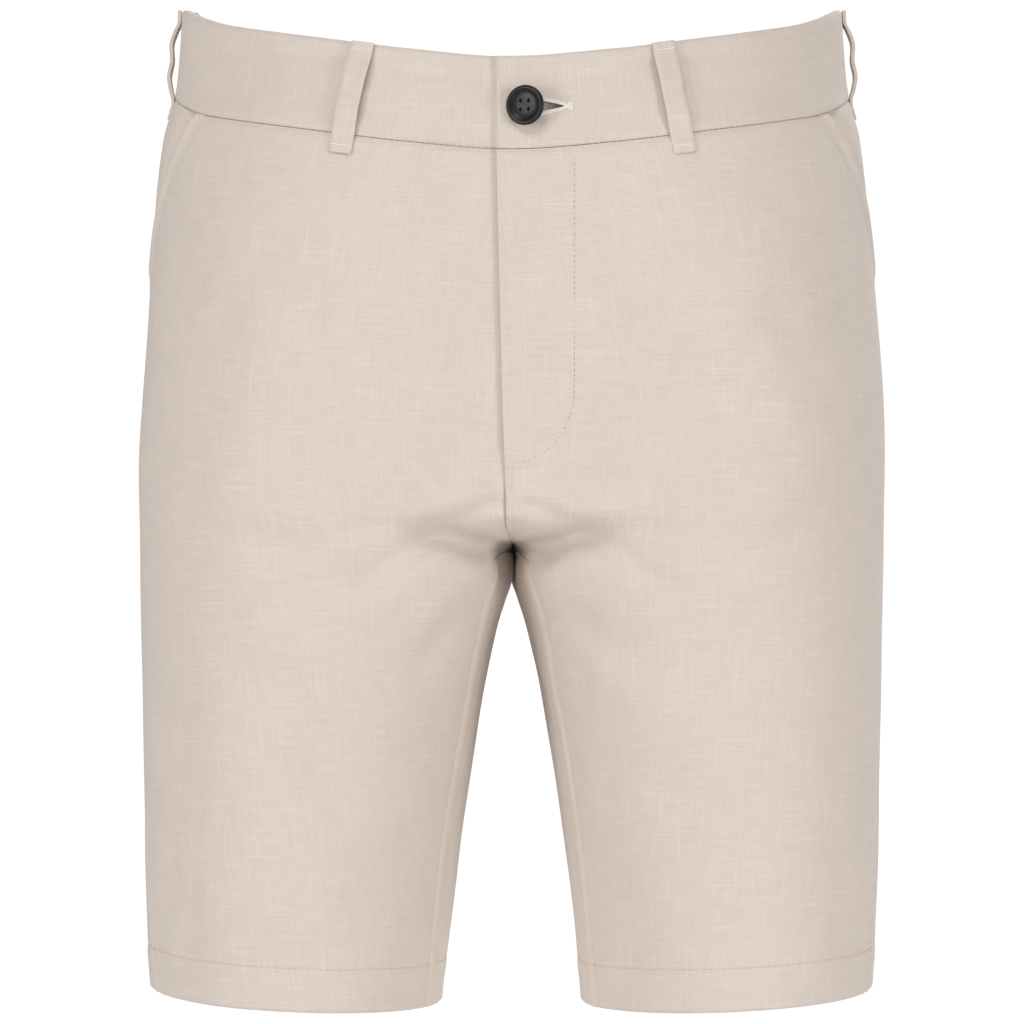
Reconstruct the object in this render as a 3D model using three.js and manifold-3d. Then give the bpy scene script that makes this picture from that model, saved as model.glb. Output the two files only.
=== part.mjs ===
// Bermuda shorts in plain linen, filled out as if worn, with nobody inside.
// Millimetres, +Z up, the front faces -Y and the wearer's left is +X.
// Height 0 is the top edge of the waistband at the centre front.
import * as THREE from 'three';
import { mergeVertices } from 'three/addons/utils/BufferGeometryUtils.js';
import Module from 'manifold-3d';

// ---- driving sizes --------------------------------------------------------
const SEAM_GAP = 0.3;
const CLOTH = 1.4;
const HEM_CLOTH = 2.6;
const HEM_HEIGHT = 21;
const BAND_CLOTH = 2.8;
const BAND_HEIGHT = 44;
const CROTCH_Z = -229;
const HEM_OUTER_Z = -446;
const HEM_DROP = 8;
const FRONT_RISE_CURVE = 64;
const BACK_RISE_CURVE = 120;
const OUTER_FULLNESS = 2.2;
const INNER_FULLNESS = 2.1;

// The body of one half, by height: side is the half width, leg the middle of the leg tube,
// front and back the depths either side of the widest line, which lies at y = middle.
const BODY = [
  { z: 45, side: 162.5, leg: 0, front: 112, back: 117, middle: 0 },
  { z: 20, side: 163.5, leg: 4, front: 114, back: 119, middle: 0 },
  { z: -8, side: 166, leg: 18, front: 117, back: 123, middle: 0 },
  { z: -29, side: 171.5, leg: 34, front: 120, back: 129, middle: 0 },
  { z: -59, side: 174.8, leg: 54, front: 122, back: 137, middle: 0 },
  { z: -108, side: 178.7, leg: 78, front: 123, back: 145, middle: 0 },
  { z: -158, side: 182.2, leg: 90, front: 121, back: 143, middle: -2 },
  { z: -195, side: 183.4, leg: 94, front: 118, back: 136, middle: -4 },
  { z: -237, side: 182.9, leg: 96, front: 112, back: 125, middle: -4 },
  { z: -306, side: 181.4, leg: 98.5, front: 104, back: 112, middle: -2 },
  { z: -380, side: 180.7, leg: 103.5, front: 96, back: 102, middle: 0 },
  { z: -430, side: 179, leg: 105.8, front: 91, back: 95, middle: 2 },
  { z: -460, side: 177.6, leg: 106.2, front: 88, back: 92, middle: 2 },
];

// Half of the clear space between the two legs, by height.
const LEG_GAP = [
  { z: -229, half: 0.15 },
  { z: -243, half: 0.9 },
  { z: -257, half: 2.7 },
  { z: -266, half: 6 },
  { z: -281, half: 9.7 },
  { z: -306, half: 14.9 },
  { z: -331, half: 19 },
  { z: -356, half: 22.8 },
  { z: -380, half: 26.2 },
  { z: -405, half: 29.2 },
  { z: -430, half: 31.9 },
  { z: -460, half: 34.2 },
];

// Seam between waistband and body: round is 1 at the centre front, 0 at the side, -1 at the back.
const BAND_SEAM = [
  { round: -1, z: -22 },
  { round: -0.5, z: -18 },
  { round: 0, z: -11 },
  { round: 0.36, z: -25 },
  { round: 0.6, z: -34 },
  { round: 0.8, z: -40.5 },
  { round: 1, z: -44 },
];

// How far each leg seam lies in front of the innermost and outermost lines of the leg.
const LEG_SEAMS = [
  { z: -229, inner: 0, outer: 0 },
  { z: -233, inner: 28, outer: 1 },
  { z: -238, inner: 42, outer: 2 },
  { z: -250, inner: 50, outer: 4 },
  { z: -270, inner: 48, outer: 8 },
  { z: -306, inner: 44, outer: 16 },
  { z: -360, inner: 47, outer: 28 },
  { z: -420, inner: 42, outer: 38 },
  { z: -460, inner: 39, outer: 42 },
];

// Front edges at the fly, measured from the centre line; below zero runs past it.
const FLY_EDGE = [
  { z: -40, left: -6.4, right: -4 },
  { z: -83, left: -5, right: -4 },
  { z: -125, left: -3.8, right: -4 },
  { z: -150, left: -3, right: 3.5 },
  { z: -172, left: -2.2, right: 2.7 },
  { z: -190, left: -2, right: 2.5 },
  { z: -215, left: 0.15, right: 0.15 },
  { z: -229, left: 0.15, right: 0.15 },
];
const FLY_STEP = CLOTH + SEAM_GAP;
const FRONT_STEP = FLY_STEP + 0.15;
const FLY_STEP_FROM = 28;
const FLY_STEP_TO = 12;
const FLY_BUTT_Z = -172;
const FLY_END_Z = -205;
const SHIELD_SLACK = 0.45;
const SHIELD_LEFT = 36;
const SHIELD_RIGHT = 14;
const SHIELD_END_Z = -186;

const POCKET_TOP_ARC = 73;
const POCKET_TOP_Z = -17;
const POCKET_END_Z = -108;
const POCKET_COLUMNS = 4;
const POCKET_LEAST = 3;
const POCKET_RAMP = 14;

const UNDERLAP = 36;
const OVERLAP = 7;
const BAND_STEP = BAND_CLOTH + SEAM_GAP;
const BAND_STEP_FROM = 32;
const BAND_STEP_TO = 12;

const LOOP_CLOTH = 1.6;
const LOOP_WIDTH = 10.5;
const LOOP_ABOVE = 1.5;
const LOOP_BELOW = 9;
// Strap of a belt loop from its top end to its bottom end: rise is the share of its full arch.
const LOOP_ARCH = [
  { along: 0, rise: 0 },
  { along: 0.07, rise: 0 },
  { along: 0.15, rise: 0.82 },
  { along: 0.26, rise: 1 },
  { along: 0.5, rise: 1 },
  { along: 0.76, rise: 1 },
  { along: 0.87, rise: 0.82 },
  { along: 0.94, rise: 0 },
  { along: 1, rise: 0 },
];
const FRONT_LOOP_TOP = 70.5;
const FRONT_LOOP_BOTTOM = 80.5;
const LOOP_LIFT = 6;

const BUTTON_X = 6.7;
const BUTTON_Z = -24;
const BUTTON_RADIUS = 9.35;
const BUTTON_THICK = 3;
const BUTTON_RIM = 1.9;
const BUTTON_DISH = 1.1;
const BUTTON_HOLE = 0.85;
const BUTTON_HOLE_SPREAD = 1.9;
const BUTTON_STAND = 0.9;
const SHANK_RADIUS = 1.25;
const HOLE_FROM = 3.5;
const HOLE_TO = 28;
const HOLE_HALF = 2.4;
const HOLE_EDGE = 1.7;
const HOLE_EDGE_THICK = 0.6;

const PANEL_COLUMNS = 14;
const UPPER_ROWS = 15;
const LOWER_ROWS = 11;
const EDGE_SHIFT_POWER = 2;
const UPPER_CROWDING = 1.5;
const LOWER_CROWDING = 1.5;
const ARC_SAMPLES = 28;
const FLAT_RISE = 0.9995;
// Least half width of the inner side of a section, used where the leg's middle is at the centre.
const LEAST_REACH = 0.5;

const LINEN = 0xd8ccc1;
const LINEN_SIDE = 0xd0c3b6;
const BUTTON_COLOUR = 0x26262a;
const THREAD = 0xcfc4b8;

// ---- curves and sections --------------------------------------------------
function smoothstep(from, to, value) {
  const t = Math.min(Math.max((value - from) / (to - from), 0), 1);
  return t * t * (3 - 2 * t);
}

// Reads one column of a table at any height, along a soft curve through its rows.
function read(table, by, column, at) {
  const rows = table[0][by] < table[table.length - 1][by] ? table : [...table].reverse();
  const last = rows.length - 1;
  if (at <= rows[0][by]) return rows[0][column];
  if (at >= rows[last][by]) return rows[last][column];
  let i = 0;
  while (rows[i + 1][by] < at) i += 1;
  const slope = (k) => {
    if (k <= 0 || k >= last) return 0;
    const before = (rows[k][column] - rows[k - 1][column]) / (rows[k][by] - rows[k - 1][by]);
    const after = (rows[k + 1][column] - rows[k][column]) / (rows[k + 1][by] - rows[k][by]);
    return before * after <= 0 ? 0 : (2 * before * after) / (before + after);
  };
  const width = rows[i + 1][by] - rows[i][by];
  const t = (at - rows[i][by]) / width;
  const a = rows[i][column];
  const b = rows[i + 1][column];
  const rise = t * t * (3 - 2 * t);
  const lead = t * (1 - t) * (1 - t) * slope(i) * width;
  const tail = t * t * (1 - t) * slope(i + 1) * width;
  return a + (b - a) * rise + lead - tail;
}

// Share of the full depth that the centre seam keeps at a height above the crotch.
function riseShare(z, curve) {
  const left = Math.max(1 - (z - CROTCH_Z) / curve, 0);
  return Math.min(Math.sqrt(Math.max(1 - left * left, 0)), FLAT_RISE);
}

// One quarter of a section, from its outer or inner end to the middle of the leg.
function quarter(centre, halfWide, halfDeep, fullness, toFront, inward, endAngle) {
  const points = [];
  for (let i = 0; i <= ARC_SAMPLES; i += 1) {
    const angle = (endAngle * i) / ARC_SAMPLES;
    const across = inward ? Math.sin(angle) : Math.cos(angle);
    const along = inward ? Math.cos(angle) : Math.sin(angle);
    const side = inward ? -1 : 1;
    const front = toFront ? -1 : 1;
    const nx = (side * Math.pow(across, 2 - 2 / fullness)) / halfWide;
    const ny = (front * Math.pow(along, 2 - 2 / fullness)) / halfDeep;
    const size = Math.hypot(nx, ny);
    points.push({
      x: centre.x + side * halfWide * Math.pow(Math.max(across, 0), 2 / fullness),
      y: centre.y + front * halfDeep * Math.pow(Math.max(along, 0), 2 / fullness),
      nx: nx / size,
      ny: ny / size,
    });
  }
  return points;
}

function arcLine(points) {
  let length = 0;
  points.forEach((point, i) => {
    if (i > 0) length += Math.hypot(point.x - points[i - 1].x, point.y - points[i - 1].y);
    point.arc = length;
  });
  const at = (arc) => {
    let i = 0;
    while (i < points.length - 2 && points[i + 1].arc < arc) i += 1;
    const span = points[i + 1].arc - points[i].arc;
    const t = Math.min(Math.max((arc - points[i].arc) / span, 0), 1);
    const mix = (key) => points[i][key] + (points[i + 1][key] - points[i][key]) * t;
    return { x: mix('x'), y: mix('y'), nx: mix('nx'), ny: mix('ny') };
  };
  return { length, at };
}

// Section of one half at a height. Arc 0 is the outermost line, positive arcs run to the front;
// past the centre line a section goes on as its mirror image, or round the leg below the crotch.
function section(z) {
  const body = (column) => read(BODY, 'z', column, z);
  const centre = { x: body('leg'), y: body('middle') };
  const joined = z > CROTCH_Z;
  const half = (toFront) => {
    const depth = body(toFront ? 'front' : 'back');
    const wide = body('side') - centre.x;
    const outer = quarter(centre, wide, depth, OUTER_FULLNESS, toFront, false, Math.PI / 2);
    const share = joined ? riseShare(z, toFront ? FRONT_RISE_CURVE : BACK_RISE_CURVE) : 0;
    const cut = Math.sqrt(1 - Math.pow(share, INNER_FULLNESS));
    const reach = joined
      ? Math.max(centre.x, LEAST_REACH) / Math.pow(cut, 2 / INNER_FULLNESS)
      : centre.x - read(LEG_GAP, 'z', 'half', z);
    const end = joined ? Math.asin(cut) : Math.PI / 2;
    const inner = quarter(centre, reach, depth, INNER_FULLNESS, toFront, true, end);
    return arcLine([...outer, ...inner.slice(1)]);
  };
  const front = half(true);
  const back = half(false);
  const mirrored = (p) => ({ x: -p.x, y: p.y, nx: -p.nx, ny: p.ny });
  const walk = (own, other, arc) => {
    if (arc <= own.length) return own.at(arc);
    const past = arc - own.length;
    return joined ? mirrored(own.at(own.length - past)) : other.at(other.length - past);
  };
  const at = (arc) => (arc >= 0 ? walk(front, back, arc) : walk(back, front, -arc));
  return { frontLength: front.length, backLength: back.length, at };
}

// A point of one half, set in from the outer face of the cloth by depth.
function clothPoint(z, arc, depth) {
  const p = section(z).at(arc);
  return [p.x - p.nx * depth, p.y - p.ny * depth, z];
}

function hemHeight(round) {
  const turn = Math.cos((Math.PI / 2) * Math.min(Math.abs(round), 1));
  return HEM_OUTER_Z - HEM_DROP * (1 - turn * turn);
}

function bandSeam(round) {
  return read(BAND_SEAM, 'round', 'z', round);
}

// ---- solids from rows of cloth --------------------------------------------
// Each point of a grid has an outer and an inner place; walls close the four sides.
function clothSolid(grid, side) {
  const rows = grid.length;
  const columns = grid[0].length;
  const positions = [];
  grid.forEach((row) => row.forEach((p) => positions.push(side * p.outer[0], p.outer[1], p.outer[2])));
  grid.forEach((row) => row.forEach((p) => positions.push(side * p.inner[0], p.inner[1], p.inner[2])));
  const outer = (i, j) => i * columns + j;
  const inner = (i, j) => rows * columns + i * columns + j;
  const indices = [];
  const quad = (a, b, c, d) => indices.push(a, b, c, a, c, d);
  for (let i = 0; i < rows - 1; i += 1) {
    for (let j = 0; j < columns - 1; j += 1) {
      quad(outer(i, j), outer(i + 1, j), outer(i + 1, j + 1), outer(i, j + 1));
      quad(inner(i, j), inner(i, j + 1), inner(i + 1, j + 1), inner(i + 1, j));
    }
  }
  for (let j = 0; j < columns - 1; j += 1) {
    quad(outer(0, j), outer(0, j + 1), inner(0, j + 1), inner(0, j));
    quad(outer(rows - 1, j), inner(rows - 1, j), inner(rows - 1, j + 1), outer(rows - 1, j + 1));
  }
  for (let i = 0; i < rows - 1; i += 1) {
    quad(outer(i, 0), inner(i, 0), inner(i + 1, 0), outer(i + 1, 0));
    quad(outer(i, columns - 1), outer(i + 1, columns - 1), inner(i + 1, columns - 1), inner(i, columns - 1));
  }
  return facedOut(positions, indices);
}

// Turns every face outward, whichever way round the grid was walked.
function facedOut(positions, indices) {
  let volume = 0;
  for (let i = 0; i < indices.length; i += 3) {
    const [a, b, c] = [0, 1, 2].map((k) => new THREE.Vector3().fromArray(positions, 3 * indices[i + k]));
    volume += a.dot(b.cross(c));
  }
  const order = volume > 0 ? indices : [...indices].reverse();
  const geometry = new THREE.BufferGeometry();
  geometry.setAttribute('position', new THREE.Float32BufferAttribute(positions, 3));
  geometry.setIndex(order);
  return geometry;
}

// Height of a row of a body panel: rows crowd towards the crotch from above and from below.
function rowHeights(topZ, hemZ) {
  const heights = [];
  for (let i = 0; i < UPPER_ROWS; i += 1) {
    const left = 1 - i / UPPER_ROWS;
    heights.push(CROTCH_Z + (topZ - CROTCH_Z) * Math.pow(left, UPPER_CROWDING));
  }
  const hemTop = hemZ + HEM_HEIGHT;
  for (let i = 0; i <= LOWER_ROWS; i += 1) {
    heights.push(CROTCH_Z + (hemTop - CROTCH_Z) * Math.pow(i / LOWER_ROWS, LOWER_CROWDING));
  }
  heights.push(hemTop - HEM_CLOTH, hemZ + HEM_HEIGHT / 2, hemZ);
  return heights;
}

// One column of a body panel: its arc at any height and the heights of its rows.
function panelColumn(arcAt) {
  const roundAt = (z) => {
    const arc = arcAt(z);
    const { frontLength, backLength } = section(z);
    return arc >= 0 ? arc / frontLength : arc / backLength;
  };
  const nearTop = bandSeam(roundAt(POCKET_TOP_Z));
  const topZ = bandSeam(roundAt(nearTop)) - SEAM_GAP / 2;
  const round = roundAt(HEM_OUTER_Z);
  const hemRound = Math.abs(round) > 1 ? 2 - Math.abs(round) : round;
  return { arcAt, heights: rowHeights(topZ, hemHeight(hemRound)) };
}

function clothAt(z, arc, depth, thick) {
  return { outer: clothPoint(z, arc, depth), inner: clothPoint(z, arc, depth + thick) };
}

// A body panel from its side edge to its inner edge, in rows from the waistband to the hem.
function panel(side, edges, depthAt) {
  const columns = [];
  for (let j = 0; j <= PANEL_COLUMNS; j += 1) {
    columns.push(panelColumn(panelArc(edges, j / PANEL_COLUMNS)));
  }
  const grid = columns[0].heights.map((_, i) => columns.map(({ arcAt, heights }) => {
    const thick = i > UPPER_ROWS + LOWER_ROWS ? HEM_CLOTH : CLOTH;
    const arc = arcAt(heights[i]);
    return clothAt(heights[i], arc, depthAt(heights[i], arc), thick);
  }));
  return clothSolid(grid, side);
}

// Columns are spread evenly up to a steady base length; where the inner edge leaves that
// length, the columns next to it take most of the shift.
function panelArc({ outer, inner, base }, share) {
  return (z) => outer(z) + (base - outer(z)) * share + (inner(z) - base) * Math.pow(share, EDGE_SHIFT_POWER);
}

function seamAt(z, column) {
  return read(LEG_SEAMS, 'z', column, z);
}

function pocketArc(z) {
  return POCKET_TOP_ARC * Math.max((z - POCKET_END_Z) / (POCKET_TOP_Z - POCKET_END_Z), 0);
}

// The side edge of a front: the slant pocket mouth above, the side seam below.
function frontSideEdge(z) {
  return Math.max(seamAt(z, 'outer'), pocketArc(z)) + SEAM_GAP / 2;
}

// The inner edge of a panel slides round the leg below the crotch.
function seamSlide(z) {
  return z > CROTCH_Z ? 0 : seamAt(z, 'inner');
}

function frontEdges(side) {
  const edge = side > 0 ? 'left' : 'right';
  const inset = (z) => (z > CROTCH_Z ? read(FLY_EDGE, 'z', edge, z) : SEAM_GAP / 2);
  return {
    outer: frontSideEdge,
    inner: (z) => section(z).frontLength - inset(z) - seamSlide(z),
    base: section(CROTCH_Z).frontLength,
  };
}

const BACK_EDGES = {
  outer: (z) => seamAt(z, 'outer') - SEAM_GAP / 2,
  inner: (z) => -section(z).backLength + SEAM_GAP / 2 - seamSlide(z),
  base: -section(CROTCH_Z).backLength,
};

// The right front drops one layer near the fly, to pass under the left front.
function flyStep(z, arc) {
  if (z < FLY_END_Z) return 0;
  const fromCentre = section(z).frontLength - arc;
  const near = 1 - smoothstep(FLY_STEP_TO, FLY_STEP_FROM, fromCentre);
  return FRONT_STEP * near * smoothstep(FLY_END_Z, FLY_BUTT_Z, z);
}

// The hip patch behind a pocket mouth: flush at the side seam, one layer down at the mouth.
// It reaches under the front as far as the front's second column.
function pocketSide(side) {
  const edges = frontEdges(side);
  const seam = (z) => seamAt(z, 'outer') + SEAM_GAP / 2;
  const mouth = (z) => Math.max(frontSideEdge(z), seam(z) + POCKET_LEAST);
  const columns = [];
  for (let j = 0; j <= POCKET_COLUMNS; j += 1) {
    columns.push(panelColumn((z) => seam(z) + (mouth(z) - seam(z)) * (j / POCKET_COLUMNS)));
  }
  columns.push(panelColumn(panelArc(edges, 1 / PANEL_COLUMNS)));
  const heights = columns[POCKET_COLUMNS].heights;
  const grid = [];
  for (let i = 0; i === 0 || heights[i - 1] > POCKET_END_Z; i += 1) {
    grid.push(columns.map((column) => {
      const z = column.heights[i];
      const arc = column.arcAt(z);
      const edge = pocketArc(z);
      return clothAt(z, arc, FLY_STEP * smoothstep(edge - POCKET_RAMP, edge - 1, arc), CLOTH);
    }));
  }
  return clothSolid(grid, side);
}

// The strip behind the fly, sewn along the right front and reaching past the opening.
function flyShield() {
  const rows = 8;
  const columns = 4;
  const depth = FRONT_STEP + FLY_STEP + SHIELD_SLACK;
  const grid = [];
  for (let i = 0; i <= rows; i += 1) {
    const row = [];
    for (let j = 0; j <= columns; j += 1) {
      const topZ = bandSeam(1) - SEAM_GAP;
      const z = topZ + (SHIELD_END_Z - topZ) * (i / rows);
      const taper = 1 - 0.35 * smoothstep(0.6, 1, i / rows);
      const x = -SHIELD_RIGHT + (SHIELD_LEFT * taper + SHIELD_RIGHT) * (j / columns);
      const arc = section(z).frontLength - x;
      row.push({ outer: clothPoint(z, arc, depth), inner: clothPoint(z, arc, depth + CLOTH) });
    }
    grid.push(row);
  }
  return clothSolid(grid, 1);
}

// ---- waistband, loops and button ------------------------------------------
// Arc on one half for a share of its way round, past the centre front by reach.
function bandPoint(round, along, past, depth) {
  const z = bandSeam(Math.min(round, 1)) + SEAM_GAP / 2 + along * (BAND_HEIGHT - SEAM_GAP / 2);
  const { frontLength, backLength } = section(z);
  const arc = round >= 0 ? round * frontLength + past : round * backLength;
  return clothPoint(z, arc, depth);
}

function waistband(side) {
  const rows = 3;
  const backColumns = 12;
  const frontColumns = 14;
  const endColumns = side > 0 ? 2 : 5;
  const pastCentre = side > 0 ? OVERLAP : UNDERLAP;
  const frontArc = section(0).frontLength;
  const stops = [];
  for (let j = 0; j <= backColumns; j += 1) {
    stops.push({ round: -(1 - SEAM_GAP / 2 / frontArc) * (1 - j / backColumns), past: 0 });
  }
  for (let j = 1; j <= frontColumns; j += 1) stops.push({ round: j / frontColumns, past: 0 });
  for (let j = 1; j <= endColumns; j += 1) stops.push({ round: 1, past: (pastCentre * j) / endColumns });
  const grid = [];
  for (let i = 0; i <= rows; i += 1) {
    grid.push(stops.map(({ round, past }) => {
      const fromCentre = round > 0 ? (1 - round) * frontArc - past : frontArc;
      const under = side > 0 ? 0 : 1 - smoothstep(BAND_STEP_TO, BAND_STEP_FROM, fromCentre);
      const depth = BAND_STEP * under;
      const along = 1 - i / rows;
      return {
        outer: bandPoint(round, along, past, depth),
        inner: bandPoint(round, along, past, depth + BAND_CLOTH),
      };
    }));
  }
  return clothSolid(grid, side);
}

// A belt loop: a strap laid from the top edge of the band to just below its seam. Its middle
// line lies at an arc that may lean from the top end to the bottom end.
function beltLoop(side, arcAt) {
  const columns = 2;
  const grid = LOOP_ARCH.map(({ along, rise }) => {
    const row = [];
    for (let j = 0; j <= columns; j += 1) {
      const lengths = section(0);
      const offset = LOOP_WIDTH * (j / columns - 0.5);
      const roughArc = arcAt(0, along) + offset;
      const round = roughArc / (roughArc < 0 ? lengths.backLength : lengths.frontLength);
      const topZ = bandSeam(Math.max(Math.min(round, 1), -1)) + BAND_HEIGHT + LOOP_ABOVE;
      const z = topZ - along * (BAND_HEIGHT + LOOP_ABOVE + LOOP_BELOW);
      const arc = arcAt(z, along) + offset;
      const lift = SEAM_GAP + (LOOP_LIFT - SEAM_GAP) * rise;
      row.push(clothAt(z, arc, -lift - LOOP_CLOTH, LOOP_CLOTH));
    }
    return row;
  });
  return clothSolid(grid, side);
}

function frontLoopArc(z, along) {
  return section(z).frontLength - FRONT_LOOP_TOP - (FRONT_LOOP_BOTTOM - FRONT_LOOP_TOP) * along;
}

// Place on the outer face of the waistband near the centre front, with its facing.
function bandFace(x, z, out) {
  const { frontLength } = section(z);
  return clothPoint(z, frontLength - x, -out);
}

const wasm = await Module();
wasm.setup();

function toManifold(geometry) {
  const bare = new THREE.BufferGeometry();
  bare.setAttribute('position', geometry.getAttribute('position'));
  if (geometry.index) bare.setIndex(geometry.index);
  const merged = mergeVertices(bare, 1e-4);
  const mesh = new wasm.Mesh({
    numProp: 3,
    vertProperties: new Float32Array(merged.getAttribute('position').array),
    triVerts: new Uint32Array(merged.index.array),
  });
  return new wasm.Manifold(mesh);
}

function fromManifold(solid) {
  const mesh = solid.getMesh();
  const geometry = new THREE.BufferGeometry();
  geometry.setAttribute('position', new THREE.Float32BufferAttribute(mesh.vertProperties, 3));
  geometry.setIndex([...mesh.triVerts]);
  return geometry;
}

// Outline of the worked buttonhole: a slit pulled open, widest under the button.
function slitOutline(grow) {
  const points = [];
  const steps = 12;
  const middle = (HOLE_FROM + HOLE_TO) / 2;
  const half = (HOLE_TO - HOLE_FROM) / 2 + grow;
  for (let i = 0; i < steps; i += 1) {
    const angle = (2 * Math.PI * i) / steps;
    points.push([middle + half * Math.cos(angle), BUTTON_Z + (HOLE_HALF + grow) * Math.sin(angle)]);
  }
  return points;
}

function ringOnBand() {
  const inner = slitOutline(0.1);
  const outer = slitOutline(HOLE_EDGE);
  const count = inner.length;
  const positions = [];
  const lift = [SEAM_GAP, SEAM_GAP + HOLE_EDGE_THICK];
  lift.forEach((out) => {
    inner.forEach(([x, z]) => positions.push(...bandFace(x, z, out)));
    outer.forEach(([x, z]) => positions.push(...bandFace(x, z, out)));
  });
  const at = (layer, ring, i) => (2 * layer + ring) * count + (i % count);
  const indices = [];
  const quad = (a, b, c, d) => indices.push(a, b, c, a, c, d);
  for (let i = 0; i < count; i += 1) {
    quad(at(0, 0, i), at(0, 1, i), at(0, 1, i + 1), at(0, 0, i + 1));
    quad(at(1, 0, i), at(1, 0, i + 1), at(1, 1, i + 1), at(1, 1, i));
    quad(at(0, 0, i), at(0, 0, i + 1), at(1, 0, i + 1), at(1, 0, i));
    quad(at(0, 1, i), at(1, 1, i), at(1, 1, i + 1), at(0, 1, i + 1));
  }
  return facedOut(positions, indices);
}

// A dished disc with a raised rim and four holes, its axis along Z before it is placed.
function buttonBody() {
  const profile = [
    [0, 0],
    [BUTTON_RADIUS - 0.8, 0],
    [BUTTON_RADIUS, 0.9],
    [BUTTON_RADIUS, BUTTON_THICK - 0.8],
    [BUTTON_RADIUS - 0.8, BUTTON_THICK],
    [BUTTON_RADIUS - BUTTON_RIM, BUTTON_THICK - 0.3],
    [BUTTON_RADIUS - BUTTON_RIM - 1.2, BUTTON_THICK - BUTTON_DISH],
    [0, BUTTON_THICK - BUTTON_DISH],
  ];
  const disc = new THREE.LatheGeometry(profile.map(([r, h]) => new THREE.Vector2(r, h)), 40);
  disc.rotateX(Math.PI / 2);
  let solid = toManifold(disc);
  [[-1, -1], [1, -1], [-1, 1], [1, 1]].forEach(([a, b]) => {
    const drill = new THREE.CylinderGeometry(BUTTON_HOLE, BUTTON_HOLE, 4 * BUTTON_THICK, 12);
    drill.rotateX(Math.PI / 2);
    drill.translate(a * BUTTON_HOLE_SPREAD, b * BUTTON_HOLE_SPREAD, BUTTON_THICK / 2);
    solid = solid.subtract(toManifold(drill));
  });
  return fromManifold(solid);
}

function faceFront(geometry, y) {
  geometry.rotateX(Math.PI / 2);
  geometry.translate(BUTTON_X, y, BUTTON_Z);
  return geometry;
}

// ---- the whole garment ----------------------------------------------------
const shorts = new THREE.Group();
shorts.name = 'bermuda_shorts';

function add(name, geometry, colour, roughness) {
  const material = new THREE.MeshStandardMaterial({ color: colour, roughness, metalness: 0 });
  const mesh = new THREE.Mesh(geometry, material);
  mesh.name = name;
  shorts.add(mesh);
}

[['right', -1], ['left', 1]].forEach(([name, side]) => {
  add(`front_${name}`, panel(side, frontEdges(side), side > 0 ? () => 0 : flyStep), LINEN, 0.9);
  add(`back_${name}`, panel(side, BACK_EDGES, () => 0), LINEN, 0.9);
  add(`pocket_side_${name}`, pocketSide(side), LINEN_SIDE, 0.9);
});
add('fly_shield', flyShield(), LINEN_SIDE, 0.9);

const slitDepth = 12;
const slitShape = new THREE.Shape(slitOutline(0).map(([x, z]) => new THREE.Vector2(x, z)));
const slit = new THREE.ExtrudeGeometry(slitShape, { depth: slitDepth, bevelEnabled: false, steps: 1 });
slit.rotateX(Math.PI / 2);
const bandFaceY = bandFace(BUTTON_X, BUTTON_Z, 0)[1];
slit.translate(0, bandFaceY + slitDepth / 2, 0);
const leftBand = toManifold(waistband(1)).subtract(toManifold(slit));
add('waistband_left', fromManifold(leftBand), LINEN, 0.9);
add('waistband_right', waistband(-1), LINEN, 0.9);

[['right', -1], ['left', 1]].forEach(([name, side]) => {
  add(`belt_loop_front_${name}`, beltLoop(side, frontLoopArc), LINEN, 0.9);
  add(`belt_loop_side_${name}`, beltLoop(side, () => 0), LINEN, 0.9);
});
add('belt_loop_back', beltLoop(1, (z) => -section(z).backLength), LINEN, 0.9);

const buttonBackY = bandFaceY - BUTTON_STAND - HOLE_EDGE_THICK;
add('button', faceFront(buttonBody(), buttonBackY), BUTTON_COLOUR, 0.45);
const shankBackY = bandFaceY + BAND_STEP - SEAM_GAP;
const shankLength = shankBackY - buttonBackY - SEAM_GAP;
const shank = new THREE.CylinderGeometry(SHANK_RADIUS, SHANK_RADIUS, shankLength, 12);
shank.translate(BUTTON_X, (shankBackY + buttonBackY + SEAM_GAP) / 2, BUTTON_Z);
add('button_shank', shank, THREAD, 0.8);
add('buttonhole_edge', ringOnBand(), THREAD, 0.8);

export default shorts;
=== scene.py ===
import math
import bpy
import numpy as np
from mathutils import Matrix, Vector


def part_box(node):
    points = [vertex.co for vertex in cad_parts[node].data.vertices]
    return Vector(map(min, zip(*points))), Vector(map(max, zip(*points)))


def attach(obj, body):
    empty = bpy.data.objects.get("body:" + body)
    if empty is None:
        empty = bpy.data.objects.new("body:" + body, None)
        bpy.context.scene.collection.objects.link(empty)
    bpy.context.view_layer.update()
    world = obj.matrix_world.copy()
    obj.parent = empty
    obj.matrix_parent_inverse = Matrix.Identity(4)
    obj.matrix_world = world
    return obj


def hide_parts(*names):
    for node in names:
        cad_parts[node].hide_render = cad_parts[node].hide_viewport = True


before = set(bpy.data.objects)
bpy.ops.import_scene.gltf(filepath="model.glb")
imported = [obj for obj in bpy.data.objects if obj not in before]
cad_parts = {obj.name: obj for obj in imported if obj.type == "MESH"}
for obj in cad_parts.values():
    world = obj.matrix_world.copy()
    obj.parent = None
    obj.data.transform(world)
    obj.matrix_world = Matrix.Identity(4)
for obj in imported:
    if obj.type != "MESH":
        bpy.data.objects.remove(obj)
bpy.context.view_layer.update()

# ---- Studio ----------------------------------------------------------------
# A pale floor well below the hems, a white surround, one broad lamp in front and above and a
# weaker one on each side, so that the round of the cloth falls off gently at its edges.
VIEW_CENTRE_Z = -0.2130
CAMERA_DISTANCE = 2.0
CAMERA_LENS = 142.0

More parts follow.
